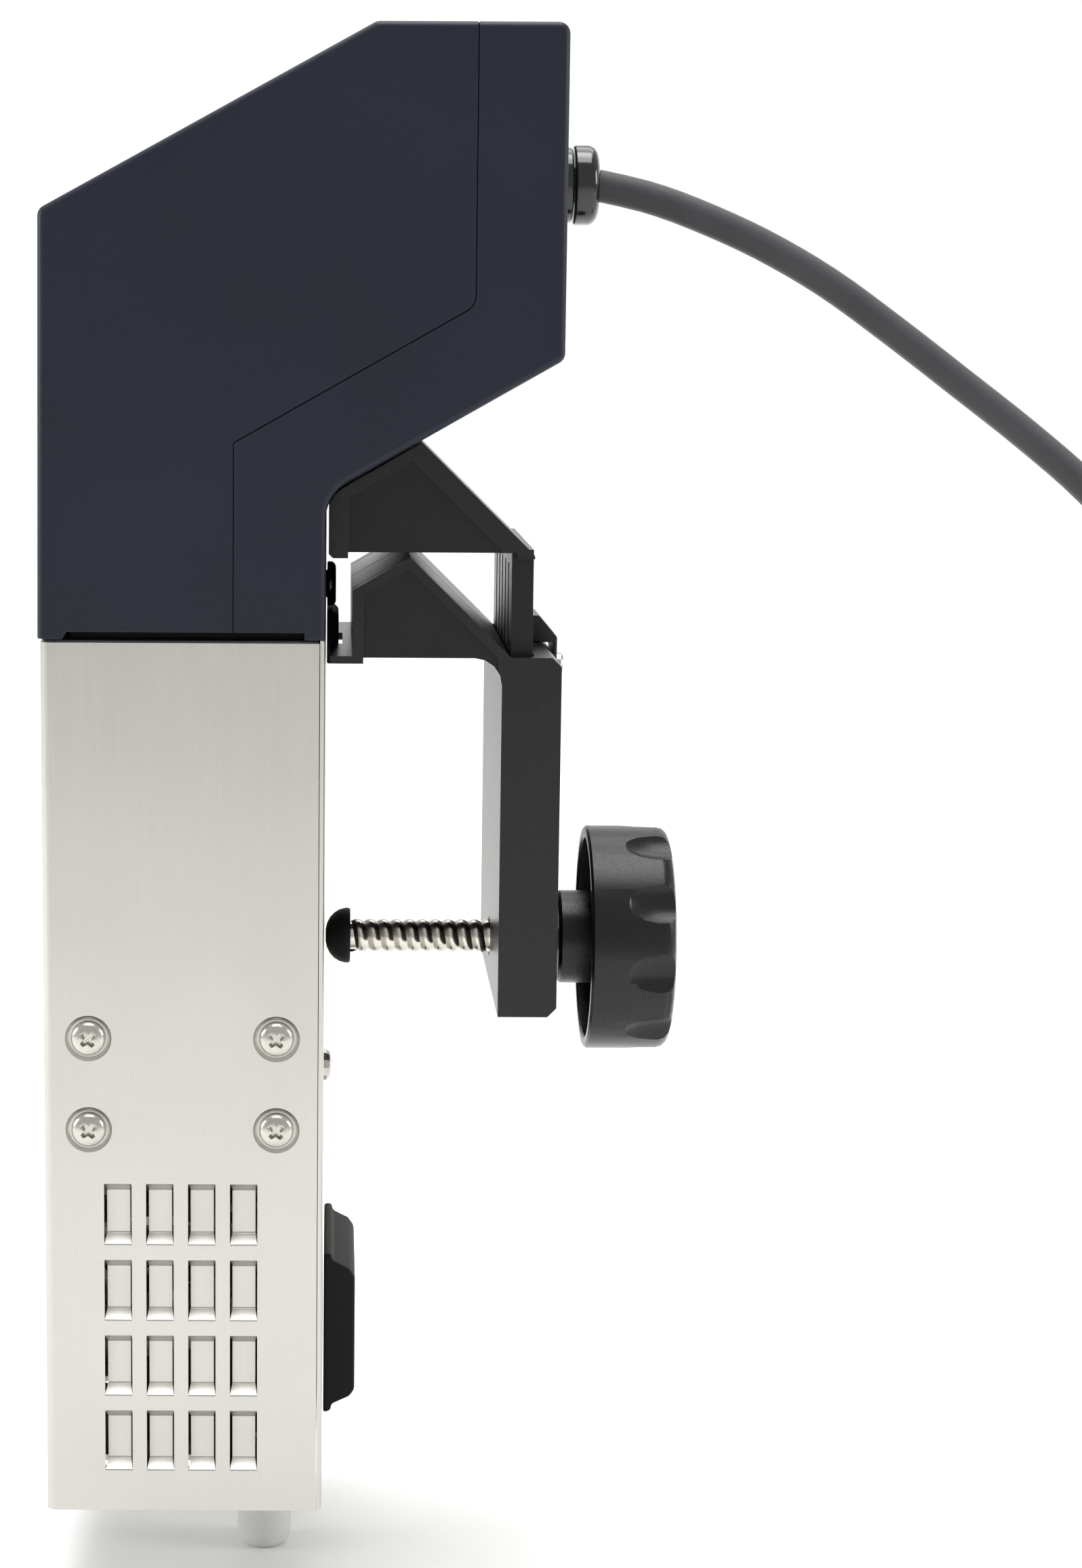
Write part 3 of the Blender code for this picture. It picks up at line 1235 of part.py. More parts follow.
def clamp_jaw(plastic, frame):
    """Lower half of the clamp, which slides on the bar and carries the screw."""
    jaw = add_object("clamp_jaw", prism_shape(jaw_outline(), CLAMP_WIDTH), plastic, parent=frame)
    core = roof_core((JAW_PEAK_X, JAW_PEAK_Z, JAW_FRONT_X), (JAW_RIB, JAW_RIB), JAW_FLANGE, JAW_WEB_BOTTOM)
    hollow_roof(jaw, core, JAW_RECESS, PLATE_FRONT_X - 5 * MM, PLATE_FRONT_X - MM)
    bar_front = BAR_REAR_X - BAR_THICKNESS
    half = BAR_WIDTH / 2 + RUN_GAP
    pocket_rear = BAR_REAR_X + RUN_GAP
    low = (bar_front - RUN_GAP, -half, BAR_POCKET_BOTTOM)
    cut(jaw, box_shape(low, (pocket_rear, half, PLATE_TOP + 2 * MM)))
    notch = BUFFER_WIDTH / 2 + 1.5 * MM
    depth = BUFFER_DEPTH + 1.0 * MM
    cut(jaw, box_shape((-MM, -notch, LIP_BOTTOM - MM), (depth, notch, LIP_TOP + MM)))
    nut_hole = rod_shape(NUT_RADIUS + GAP, PLATE_REAR_X - NUT_LENGTH - GAP, PLATE_REAR_X + MM, ROUND)
    cut(jaw, nut_hole, (0, 0, PAD_AXIS_HEIGHT), ALONG_X)
    nut_seat = PLATE_REAR_X - NUT_LENGTH
    screw_hole = rod_shape(THREAD_RADIUS + 2 * RUN_GAP, PLATE_FRONT_X - MM, nut_seat, SMALL_ROUND)
    cut(jaw, screw_hole, (0, 0, PAD_AXIS_HEIGHT), ALONG_X)
    bolt_hole = rod_shape(BOLT_RADIUS + GAP, pocket_rear - MM, PLATE_REAR_X + MM)
    cut(jaw, bolt_hole, (0, 0, PLATE_TOP - BOLT_DROP), ALONG_X)


def clamp_fittings(steel, plastic, frame):
    """Nut insert, the bar's retainer and its bolt, all on the jaw."""
    nut = tube_shape(THREAD_RADIUS + RUN_GAP, NUT_RADIUS, PLATE_REAR_X - NUT_LENGTH, PLATE_REAR_X - GAP)
    add_object("nut_insert", nut, steel, (0, 0, PAD_AXIS_HEIGHT), ALONG_X, frame)
    bolt_z = PLATE_TOP - BOLT_DROP
    leaf = PLATE_REAR_X + GAP
    near = BAR_REAR_X + RUN_GAP
    top = PLATE_TOP + RETAINER_RISE
    outline = [(leaf, bolt_z - 4 * MM), (leaf + MM, bolt_z - 4 * MM), (leaf + MM, PLATE_TOP + 1.6 * MM),
               (near + 3 * MM, top), (near, top), (near, PLATE_TOP + GAP), (leaf, PLATE_TOP + GAP)]
    retainer = add_object("bar_retainer", prism_shape(outline, RETAINER_WIDTH), plastic, parent=frame)
    place = (leaf + MM + GAP, 0, bolt_z)
    cut(retainer, rod_shape(BOLT_RADIUS + GAP, -4 * MM, 4 * MM), place, ALONG_X)
    head = BOLT_HEAD_RADIUS
    profile = [(0, -BOLT_LENGTH), (BOLT_RADIUS, -BOLT_LENGTH), (BOLT_RADIUS, 0), (head, 0),
               (head, 1.2 * MM), (head - 0.6 * MM, 1.8 * MM), (0, 1.8 * MM)]
    add_object("lock_bolt", turned_shape(profile, SMALL_ROUND), steel, place, ALONG_X, frame)


def knob_profile():
    """Half section of the knob: a cup open towards the clamp, with a hub and a rounded rim."""
    bore = THREAD_RADIUS + GAP
    hub = KNOB_HUB_RADIUS
    inner = KNOB_RADIUS - KNOB_WALL
    rear = KNOB_REAR_X
    floor = rear - KNOB_FLOOR
    return [(0, KNOB_SOCKET_END), (bore, KNOB_SOCKET_END), (bore, KNOB_HUB_X),
            (hub - 1.8 * MM, KNOB_HUB_X), (hub, KNOB_HUB_X + 1.8 * MM), (hub, floor),
            (inner, floor - 2 * MM), (inner, KNOB_RIM_X), (KNOB_RADIUS, KNOB_RIM_X),
            (KNOB_RADIUS, rear - 3 * MM), (KNOB_RADIUS - 0.9 * MM, rear - 0.9 * MM),
            (KNOB_RADIUS - 3 * MM, rear), (0, rear)]


def scallop_shape():
    """Cutter of one finger scallop, blunt towards the clamp and open at the knob's outer face."""
    rear = KNOB_REAR_X
    full = SCALLOP_RADIUS
    profile = [(0, rear - 15 * MM), (full * 0.55, rear - 12 * MM), (full * 0.9, rear - 7 * MM),
               (full, rear - 2 * MM), (full, rear + 2 * MM), (0, rear + 2 * MM)]
    return turned_shape(profile, SCALLOP_SIDES)


def clamp_screw(steel, rubber, plastic, frame):
    """Screw with its pad and its knob. All turn or slide on the screw's axis."""
    axis = add_empty("screw_axis", (0, 0, PAD_AXIS_HEIGHT), ALONG_X, frame)
    base = GAP
    tip = PAD_TIP_RADIUS
    reach = PAD_LENGTH
    profile = [(0, base), (tip, base)]
    for step in range(1, 6):
        angle = math.pi / 2 * step / 5
        rim = tip + (PAD_RADIUS - tip) * math.sin(angle)
        profile.append((rim, base + reach * 0.75 * (1 - math.cos(angle))))
    socket = THREAD_RADIUS - 0.9 * MM
    seat = base + reach - 3.5 * MM
    profile.extend([(PAD_RADIUS, base + reach), (socket, base + reach), (socket, seat), (0, seat)])
    add_object("screw_pad", turned_shape(profile, ROUND), rubber, parent=axis)
    journal = socket - RUN_GAP
    shoulder = base + reach + RUN_GAP
    end = KNOB_SOCKET_END - GAP
    profile = [(0, seat + RUN_GAP), (journal, seat + RUN_GAP), (journal, shoulder), (THREAD_RADIUS, shoulder),
               (THREAD_RADIUS, end), (0, end)]
    add_object("clamp_screw", turned_shape(profile, MID_ROUND), steel, parent=axis)
    knob = add_object("clamp_knob", turned_shape(knob_profile(), KNOB_SIDES), plastic, parent=axis)
    tools = []
    away = KNOB_RADIUS + SCALLOP_RADIUS * 0.86
    for number in range(KNOB_SCALLOPS):
        angle = 2 * math.pi * (number + 0.5) / KNOB_SCALLOPS
        tools.append((scallop_shape(), (away * math.cos(angle), away * math.sin(angle), 0)))
    cut(knob, merged(tools))


# ---------------------------------------------------------------- rear pieces and cord

def rear_pieces(rubber, gloss):
    """Bumper and buffer that touch the pot wall, and the cap over a service hole."""
    start = GAP
    low = BUMPER_BOTTOM
    high = low + BUMPER_HEIGHT
    deep = BUMPER_DEPTH
    outline = [(start, low), (start + BUMPER_FLANGE, low + 0.6 * MM), (start + BUMPER_FLANGE, low + 2.2 * MM),
               (deep - 1.2 * MM, low + 4.4 * MM), (deep, low + 6.2 * MM), (deep, high - 6 * MM),
               (deep - 1.6 * MM, high - 3.8 * MM), (start + BUMPER_FLANGE + 0.3 * MM, high - 1.8 * MM),
               (start + BUMPER_FLANGE, high), (start, high)]
    add_object("wall_bumper", prism_shape(outline, BUMPER_WIDTH), rubber)
    low = BUFFER_BOTTOM
    high = low + BUFFER_HEIGHT
    outline = [(start, low), (BUFFER_DEPTH - 0.8 * MM, low), (BUFFER_DEPTH, low + 0.8 * MM),
               (BUFFER_DEPTH, high - 1.2 * MM), (BUFFER_DEPTH - 1.2 * MM, high), (start, high)]
    add_object("upper_buffer", prism_shape(outline, BUFFER_WIDTH), rubber)
    stem = CAP_RADIUS * 0.6
    profile = [(0, -3.5 * MM), (stem, -3.5 * MM), (stem, start), (CAP_RADIUS, start),
               (CAP_RADIUS, CAP_DEPTH - 0.8 * MM), (CAP_RADIUS - 0.8 * MM, CAP_DEPTH), (0, CAP_DEPTH)]
    add_object("service_cap", turned_shape(profile, MID_ROUND), gloss, (0, 0, CAP_Z), ALONG_X)


def gland(gloss):
    """Cable gland in the head's rear wall: threaded body with its flange, and the nut."""
    bore = CORD_DIAMETER / 2 + GAP
    start = HEAD_REAR_X + GAP
    step = start + GLAND_FLANGE
    end = step + GAP + GLAND_NUT
    stem = GLAND_RADIUS * 0.6
    inside = HEAD_REAR_X - 7 * MM
    rim = GLAND_RADIUS - 0.6 * MM
    profile = [(bore, inside), (stem, inside), (stem, start), (rim, start), (rim, step), (bore, step),
               (bore, inside)]
    add_object("gland_body", turned_shape(profile, MID_ROUND), gloss, (0, 0, GLAND_Z), ALONG_X)
    low = step + GAP
    edge = 2.2 * MM
    profile = [(bore, low), (GLAND_RADIUS, low), (GLAND_RADIUS, end - edge),
               (GLAND_RADIUS - 0.7 * MM, end - 0.7 * MM), (GLAND_RADIUS - edge, end),
               (bore, end), (bore, low)]
    add_object("gland_nut", turned_shape(profile, MID_ROUND), gloss, (0, 0, GLAND_Z), ALONG_X)


def counter_height():
    """Height of the surface that the cord's coil lies on, level with the nozzle's tip."""
    return -NOZZLE_DROP


def smooth_route(points, spacing):
    """Evenly spaced points on a smooth curve through the route's own points."""
    fine = []
    for i in range(len(points) - 1):
        p0 = Vector(points[max(i - 1, 0)])
        p1 = Vector(points[i])
        p2 = Vector(points[i + 1])
        p3 = Vector(points[min(i + 2, len(points) - 1)])
        for step in range(12):
            t = step / 12
            fine.append(0.5 * ((2 * p1) + (p2 - p0) * t + (2 * p0 - 5 * p1 + 4 * p2 - p3) * t ** 2
                               + (3 * p1 - p0 - 3 * p2 + p3) * t ** 3))
    fine.append(Vector(points[-1]))
    spaced = [fine[0]]
    walked = 0.0
    for before, after in zip(fine, fine[1:]):
        walked += (after - before).length
        if walked >= spacing:
            spaced.append(after)
            walked = 0.0
    if (spaced[-1] - fine[-1]).length < spacing / 2:
        spaced.pop()
    spaced.append(fine[-1])
    return [tuple(point) for point in spaced]


def cord(rubber):
    """Cord from the gland down to the counter, and the coil of the rest."""
    start = CORD_ROUTE[0][2] * MM
    end = CORD_ROUTE[-1][2] * MM
    stretch = (GLAND_Z - end) / (start - end)
    route = [(x * MM, y * MM, end + (z * MM - end) * stretch) for x, y, z in CORD_ROUTE]
    add_tube("power_cord", smooth_route(route, CORD_DIAMETER * 2), CORD_DIAMETER / 2, 3, rubber)
    counter = counter_height()
    top = counter + COIL_HEIGHT
    inner = COIL_RADIUS - COIL_BAND / 2
    outer = COIL_RADIUS + COIL_BAND / 2
    edge = 3.5 * MM
    profile = [(inner + edge, counter), (outer - edge, counter), (outer, counter + edge),
               (outer, top - edge), (outer - edge, top), (inner + edge, top), (inner, top - edge),
               (inner, counter + edge), (inner + edge, counter)]
    add_object("cord_coil", turned_shape(profile, ROUND), rubber, (COIL_CENTRE_X, COIL_CENTRE_Y, 0))


def plug(rubber):
    """Moulded plug with two blades and an earth pin, lying on the coil and pointing along +Y."""
    radius = PLUG_RADIUS
    half = PLUG_LENGTH / 2
    height = counter_height() + COIL_HEIGHT + GAP + radius
    place = (COIL_CENTRE_X + COIL_RADIUS, COIL_CENTRE_Y, height)
    turn = (-math.pi / 2, 0, 0)
    profile = [(0, -half), (PLUG_NECK, -half), (PLUG_NECK + MM, -half + 12 * MM),
               (radius * 0.8, -half + 17 * MM), (radius, -half + 23 * MM), (radius, half - 1.5 * MM),
               (radius - 1.5 * MM, half), (0, half)]
    body = add_object("plug", turned_shape(profile), rubber, place, turn)
    wide = BLADE_WIDTH / 2
    thick = BLADE_THICKNESS / 2
    for side in (-1, 1):
        x = side * BLADE_SPACING / 2
        tip = half + BLADE_LENGTH
        blade = box_shape((x - thick, -wide, half - 3 * MM), (x + thick, wide, tip), 0.3 * MM, 1)
        unite(body, blade, place, turn)
    pin = rod_shape(EARTH_PIN_RADIUS, half - 3 * MM, half + BLADE_LENGTH + 2 * MM, SMALL_ROUND, 0.8 * MM)
    bmesh.ops.translate(pin, verts=pin.verts, vec=(0, -EARTH_PIN_OFFSET, 0))
    unite(body, pin, place, turn)


# ---------------------------------------------------------------- whole object

def build():
    """Make every sub-part."""
    clear_scene()
    add_empty("assembly", (0, 0, -PAD_AXIS_HEIGHT))
    steel = finish("brushed_steel", (0.62, 0.60, 0.57), 0.34, 1.0)
    bright = finish("bright_steel", (0.66, 0.65, 0.63), 0.24, 1.0)
    bronze = finish("bearing_bronze", (0.55, 0.36, 0.18), 0.4, 1.0)
    aluminium = finish("aluminium", (0.72, 0.73, 0.74), 0.4, 1.0)
    navy = finish("housing_plastic", (0.014, 0.017, 0.028), 0.5)
    black = finish("clamp_plastic", (0.022, 0.022, 0.023), 0.45)
    gloss = finish("gloss_plastic", (0.01, 0.01, 0.011), 0.18)
    rubber = finish("rubber", (0.02, 0.02, 0.021), 0.7)
    cord_rubber = finish("cord_jacket", (0.035, 0.036, 0.038), 0.6)
    glass = finish("display_pane", (0.02, 0.025, 0.03), 0.08)
    board = finish("circuit_board", (0.02, 0.12, 0.05), 0.5)
    frosted = finish("frosted_plastic", (0.75, 0.76, 0.77), 0.55)
    column_shell(steel)
    rear_panel(steel)
    column_plates(steel, rubber)
    column_screws(bright)
    pump_bracket(steel)
    standoffs(bright)
    pump(black, bronze)
    outlet_nozzle(frosted)
    heater_coil(bright)
    probes(bright)
    rotor(bright, black)
    motor(bright)
    front_housing(navy)
    rear_housing(navy)
    controls(gloss, glass, board, rubber)
    electronics(board, black, aluminium)
    clamp_arm(black)
    slide = add_empty("jaw_slide", (0, 0, 0), parent=bpy.data.objects["assembly"])
    clamp_jaw(black, slide)
    clamp_fittings(bright, black, slide)
    clamp_screw(bright, rubber, black, slide)
    rear_pieces(rubber, gloss)
    gland(gloss)
    cord(cord_rubber)
    plug(cord_rubber)


build()
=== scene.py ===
"""Looks of a clamp-on sous vide circulator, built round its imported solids.

Sizes are in millimetres and heights are measured from the column's bottom edge. The function
spot() turns both into the frame's metres. +X points towards the clamp and +Z up.
"""
import json
import logging
import math
from dataclasses import dataclass
from enum import Enum
from typing import Callable, Iterable, Sequence

import bmesh
import bpy
from mathutils import Matrix, Vector

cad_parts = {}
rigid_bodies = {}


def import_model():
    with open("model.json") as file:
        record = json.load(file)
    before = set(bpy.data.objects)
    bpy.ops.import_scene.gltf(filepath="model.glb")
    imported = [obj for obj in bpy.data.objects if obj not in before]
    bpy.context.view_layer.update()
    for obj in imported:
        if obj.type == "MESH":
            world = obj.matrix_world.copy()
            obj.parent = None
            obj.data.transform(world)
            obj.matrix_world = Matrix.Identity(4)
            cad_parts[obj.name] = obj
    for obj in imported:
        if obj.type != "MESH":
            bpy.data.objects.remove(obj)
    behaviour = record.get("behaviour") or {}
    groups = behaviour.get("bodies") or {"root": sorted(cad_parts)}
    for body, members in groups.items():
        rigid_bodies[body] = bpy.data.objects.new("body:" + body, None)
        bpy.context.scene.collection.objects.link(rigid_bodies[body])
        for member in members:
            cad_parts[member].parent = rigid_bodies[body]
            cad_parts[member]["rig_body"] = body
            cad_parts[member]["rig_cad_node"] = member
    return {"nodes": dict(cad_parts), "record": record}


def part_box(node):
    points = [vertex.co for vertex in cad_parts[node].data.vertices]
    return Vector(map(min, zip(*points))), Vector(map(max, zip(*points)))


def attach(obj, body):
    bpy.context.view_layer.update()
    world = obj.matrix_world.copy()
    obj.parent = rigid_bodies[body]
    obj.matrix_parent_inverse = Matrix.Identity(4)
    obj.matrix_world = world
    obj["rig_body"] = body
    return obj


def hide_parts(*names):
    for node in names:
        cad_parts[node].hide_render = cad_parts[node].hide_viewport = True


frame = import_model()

MM = 0.001
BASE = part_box("column_shell")[0].z
LEVEL = -BASE / MM
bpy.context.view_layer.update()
LOG = logging.getLogger("circulator")

Point = tuple[float, float, float]
Flat = tuple[float, float]
Shape = bpy.types.Object
Socket = bpy.types.NodeSocket
Test = Callable[[Vector, Vector], bool]


def spot(x: float, y: float, z: float) -> Vector:
    """Turn millimetres, with z from the column's bottom edge, into a place in the frame."""
    return Vector((x * MM, y * MM, z * MM + BASE))


def linear(code: str) -> tuple[float, float, float, float]:
    """Turn an sRGB hex value into a linear colour.

    Args:
        code: six hex digits, with or without a leading #.
    Returns:
        Red, green, blue and alpha, linear.
    """
    parts = [int(code.lstrip("#")[i:i + 2], 16) / 255 for i in (0, 2, 4)]
    bright = [c / 12.92 if c <= 0.04045 else ((c + 0.055) / 1.055) ** 2.4 for c in parts]
    return (*bright, 1.0)


class Axis(Enum):
    """Main directions, with the turn that lays +Z along each."""

    X = (0.0, math.pi / 2, 0.0)
    Y = (-math.pi / 2, 0.0, 0.0)
    Z = (0.0, 0.0, 0.0)
    MINUS_Y = (math.pi / 2, 0.0, 0.0)


# ---------- modelling

def settle() -> None:
    """Leave edit mode and deselect everything."""
    if bpy.context.object is not None and bpy.context.object.mode != "OBJECT":
        bpy.ops.object.mode_set(mode="OBJECT")
    bpy.ops.object.select_all(action="DESELECT")


def link(shape: Shape) -> None:
    """Put an object into the scene."""
    bpy.context.scene.collection.objects.link(shape)


def take_all() -> None:
    """Select the whole mesh in edit mode."""
    bpy.ops.mesh.select_all(action="SELECT")


class Form:
    """One piece while it is modelled."""

    def __init__(self, shape: Shape, name: str) -> None:
        """Take hold of an object and name it."""
        self.shape = shape
        shape.name = name
        shape.data.name = name

    @classmethod
    def block(cls, name: str, low: Point, high: Point) -> "Form":
        """Start from a cube with the given corners.

        Args:
            name: the piece's name.
            low: lowest corner, in millimetres.
            high: highest corner, in millimetres.
        Returns:
            The new form.
        """
        settle()
        first, last = spot(*low), spot(*high)
        bpy.ops.mesh.primitive_cube_add(size=1, location=(first + last) / 2, scale=last - first)
        bpy.ops.object.transform_apply()
        return cls(bpy.context.object, name)

    @classmethod
    def chain(cls, name: str, points: Sequence[Vector], closed: bool = True) -> "Form":
        """Draw a line of edges by pulling out one point after another.

        Args:
            name: the piece's name.
            points: corners in metres, in order.
            closed: whether the line ends where it starts and is filled with a face.
        Returns:
            The new form, left in edit mode with everything selected.
        """
        settle()
        bpy.ops.mesh.primitive_plane_add(size=MM, location=points[0])
        bpy.ops.object.transform_apply()
        form = cls(bpy.context.object, name)
        bpy.ops.object.mode_set(mode="EDIT")
        bpy.ops.mesh.select_mode(type="VERT")
        take_all()
        bpy.ops.mesh.merge(type="CENTER")
        path = list(points) + ([points[0]] if closed else [])
        for before, after in zip(path, path[1:]):
            bpy.ops.mesh.extrude_vertices_move(TRANSFORM_OT_translate={"value": after - before})
        take_all()
        bpy.ops.mesh.remove_doubles(threshold=1e-6)
        if closed:
            bpy.ops.mesh.edge_face_add()
        return form

    @classmethod
    def slab(cls, name: str, outline: Sequence[Flat], low: float, high: float) -> "Form":
        """Give a side outline (x, z) its width across, from one y to another.

        Args:
            name: the piece's name.
            outline: corners as x and height, in order.
            low: the y where the slab starts.
            high: the y where it ends.
        Returns:
            The new form, in edit mode.
        """
        form = cls.chain(name, [spot(x, low, z) for x, z in outline])
        return form.pull(y=high - low).outwards()

    @classmethod
    def turned(cls, name: str, profile: Sequence[Flat], centre: Point, axis: Axis, steps: int = 64) -> "Form":
        """Spin a half section round an axis.

        Args:
            name: the piece's name.
            profile: radius and distance along the axis, from end to end.
            centre: the point on the axis that distances are measured from.
            axis: the direction of the axis.
            steps: sides of the full turn.
        Returns:
            The new form, in edit mode.
        """
        form = cls.chain(name, [Vector((r * MM, 0, d * MM)) for r, d in profile], closed=False)
        bpy.ops.mesh.spin(steps=steps, angle=2 * math.pi, center=(0, 0, 0), axis=(0, 0, 1))
        take_all()
        bpy.ops.mesh.remove_doubles(threshold=2e-6)
        bpy.ops.mesh.dissolve_degenerate(threshold=1e-6)
        form.outwards()
        return form.place(centre, axis)

    @classmethod
    def solid(cls, name: str, node: str) -> "Form":
        """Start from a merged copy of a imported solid.

        Args:
            name: the piece's name.
            node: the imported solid's name.
        Returns:
            The new form, in edit mode.
        """
        settle()
        shape = frame["nodes"][node].copy()
        shape.data = shape.data.copy()
        shape.parent = None
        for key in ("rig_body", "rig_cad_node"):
            del shape[key]
        link(shape)
        form = cls(shape, name)
        form.edit()
        bpy.ops.mesh.remove_doubles(threshold=2e-6)
        bpy.ops.mesh.select_mode(type="FACE")
        take_all()
        bpy.ops.mesh.dissolve_limited(angle_limit=math.radians(0.4))
        return form

    def hold(self) -> None:
        """Select the piece alone, in object mode."""
        settle()
        self.shape.select_set(True)
        bpy.context.view_layer.objects.active = self.shape

    def edit(self) -> "Form":
        """Open the piece in edit mode with everything selected."""
        self.hold()
        bpy.ops.object.mode_set(mode="EDIT")
        take_all()
        return self

    def outwards(self) -> "Form":
        """Make every face point outwards."""
        take_all()
        bpy.ops.mesh.normals_make_consistent(inside=False)
        return self

    def place(self, centre: Point, axis: Axis = Axis.Z) -> "Form":
        """Turn a form made along +Z to an axis and move it to its centre, in its mesh."""
        self.hold()
        self.shape.rotation_euler = axis.value
        self.shape.location = spot(*centre)
        bpy.ops.object.transform_apply()
        return self.edit()

    def pick(self, kind: str, test: Test) -> None:
        """Select faces or edges by place and direction.

        Args:
            kind: FACE or EDGE.
            test: takes the middle in millimetres and the normal or the edge's direction.
        """
        bpy.ops.mesh.select_mode(type=kind)
        bpy.ops.mesh.select_all(action="DESELECT")
        mesh = bmesh.from_edit_mesh(self.shape.data)
        if kind == "FACE":
            for face in mesh.faces:
                if test((face.calc_center_median() - spot(0, 0, 0)) / MM, face.normal):
                    face.select_set(True)
        else:
            for edge in mesh.edges:
                start, end = (v.co for v in edge.verts)
                if test(((start + end) / 2 - spot(0, 0, 0)) / MM, (end - start).normalized()):
                    edge.select_set(True)
        mesh.select_flush_mode()
        bmesh.update_edit_mesh(self.shape.data)

    def move(self, x: float = 0.0, y: float = 0.0, z: float = 0.0) -> "Form":
        """Move what is selected, in millimetres."""
        bpy.ops.transform.translate(value=(x * MM, y * MM, z * MM))
        return self

    def pull(self, x: float = 0.0, y: float = 0.0, z: float = 0.0) -> "Form":
        """Extrude what is selected, in millimetres."""
        bpy.ops.mesh.extrude_region_move(TRANSFORM_OT_translate={"value": (x * MM, y * MM, z * MM)})
        return self

    def round_edges(self, size: float, segments: int = 3) -> "Form":
        """Bevel the selected edges."""
        bpy.ops.mesh.bevel(offset=size * MM, segments=segments, affect="EDGES", clamp_overlap=True)
        return self

    def modify(self, kind: str, **settings: object) -> "Form":
        """Add a modifier, set it and apply it."""
        self.hold()
        modifier = self.shape.modifiers.new(kind.lower(), kind)
        for name, value in settings.items():
            setattr(modifier, name, value)
        bpy.ops.object.modifier_apply(modifier=modifier.name)
        return self

    def soften(self, width: float, segments: int = 2, angle: float = 32.0) -> "Form":
        """Round every sharp edge a little, as a mould or a tool leaves it."""
        return self.modify("BEVEL", width=width * MM, segments=segments, limit_method="ANGLE",
                           angle_limit=math.radians(angle), miter_outer="MITER_ARC", use_clamp_overlap=True)

    def without(self, tool: "Form") -> "Form":
        """Cut another form out of this one."""
        return self.combine(tool, "DIFFERENCE")

    def combine(self, tool: "Form", how: str) -> "Form":
        """Join or cut with another form, which is used up."""
        self.modify("BOOLEAN", object=tool.shape, operation=how, solver="EXACT")
        bpy.data.objects.remove(tool.shape)
        return self

    def copies(self, places: Iterable[Point]) -> "Form":
        """Put a copy of this form at each offset, joined into one object.

        Args:
            places: offsets in millimetres from where the form stands.
        Returns:
            The joined form.
        """
        settle()
        twins = []
        for x, y, z in places:
            twin = self.shape.copy()
            twin.data = self.shape.data.copy()
            twin.location = (x * MM, y * MM, z * MM)
            link(twin)
            twins.append(twin)
        name = self.shape.name
        bpy.data.objects.remove(self.shape)
        for twin in twins:
            twin.select_set(True)
        bpy.context.view_layer.objects.active = twins[0]
        if len(twins) > 1:
            bpy.ops.object.join()
        bpy.ops.object.transform_apply()
        self.shape = bpy.context.object
        self.shape.name = name
        return self

    def join(self, other: "Form") -> "Form":
        """Add another form to this object as it is."""
        self.hold()
        other.shape.select_set(True)
        bpy.ops.object.join()
        return self

    def smooth(self, angle: float = 32.0) -> "Form":
        """Shade smooth except over edges sharper than the angle."""
        self.hold()
        bpy.ops.object.shade_smooth_by_angle(angle=math.radians(angle))
        return self.modify("WEIGHTED_NORMAL", keep_sharp=True, weight=80)

    def face_off(self, finish: "Finish", test: Test) -> "Form":
        """Give faces picked by place and normal a finish of their own.

        Args:
            finish: of the picked faces.
            test: tells which faces.
        Returns:
            This form.
        """
        settle()
        materials = self.shape.data.materials
        while len(materials) < 2:
            materials.append(None)
        materials[1] = finish.material()
        for face in self.shape.data.polygons:
            face.material_index = int(test((face.center - spot(0, 0, 0)) / MM, face.normal))
        return self

    def fit(self, finish: "Finish", body: str, nodes: Sequence[str] = ()) -> Shape:
        """Dress the finished piece and set it on its body.

        Args:
            finish: what the piece is made of.
            body: the body that it moves with.
            nodes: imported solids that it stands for.
        Returns:
            The finished object.
        """
        settle()
        if self.shape.data.materials:
            self.shape.data.materials[0] = finish.material()
        else:
            self.shape.data.materials.append(finish.material())
        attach(self.shape, body)
        if nodes:
            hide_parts(*nodes)
        LOG.info("%s on %s: %d faces", self.shape.name, body, len(self.shape.data.polygons))
        return self.shape


def arc(before: Flat, corner: Flat, after: Flat, radius: float, steps: int = 5) -> list[Flat]:
    """Points that round a corner.

    Args:
        before: the point that the line comes from.
        corner: the corner itself.
        after: the point that the line goes to.
        radius: of the rounding.
        steps: stretches of the arc.
    Returns:
        Points from the first tangent point to the second.
    """
    here = Vector(corner)
    back = (Vector(before) - here).normalized()
    on = (Vector(after) - here).normalized()
    half = back.angle(on) / 2
    reach = radius / math.tan(half)
    middle = here + (back + on).normalized() * (radius / math.sin(half))
    start = here + back * reach - middle
    end = here + on * reach - middle
    turn = start.angle_signed(end)
    return [tuple(middle + Matrix.Rotation(-turn * i / steps, 2) @ start) for i in range(steps + 1)]


def rounded(points: Sequence[Flat], radii: dict[int, float], steps: int = 4,
            closed: bool = True) -> list[Flat]:
    """Outline with some of its corners rounded.

    Args:
        points: the corners in order.
        radii: radius for each corner number that is rounded.
        steps: stretches of each arc.
        closed: whether the last point joins the first.
    Returns:
        The outline's points.
    """
    made: list[Flat] = []
    count = len(points)
    for i, point in enumerate(points):
        if i in radii and (closed or 0 < i < count - 1):
            made.extend(arc(points[i - 1], point, points[(i + 1) % count], radii[i], steps))
        else:
            made.append(tuple(point))
    return made


# ---------- finishes

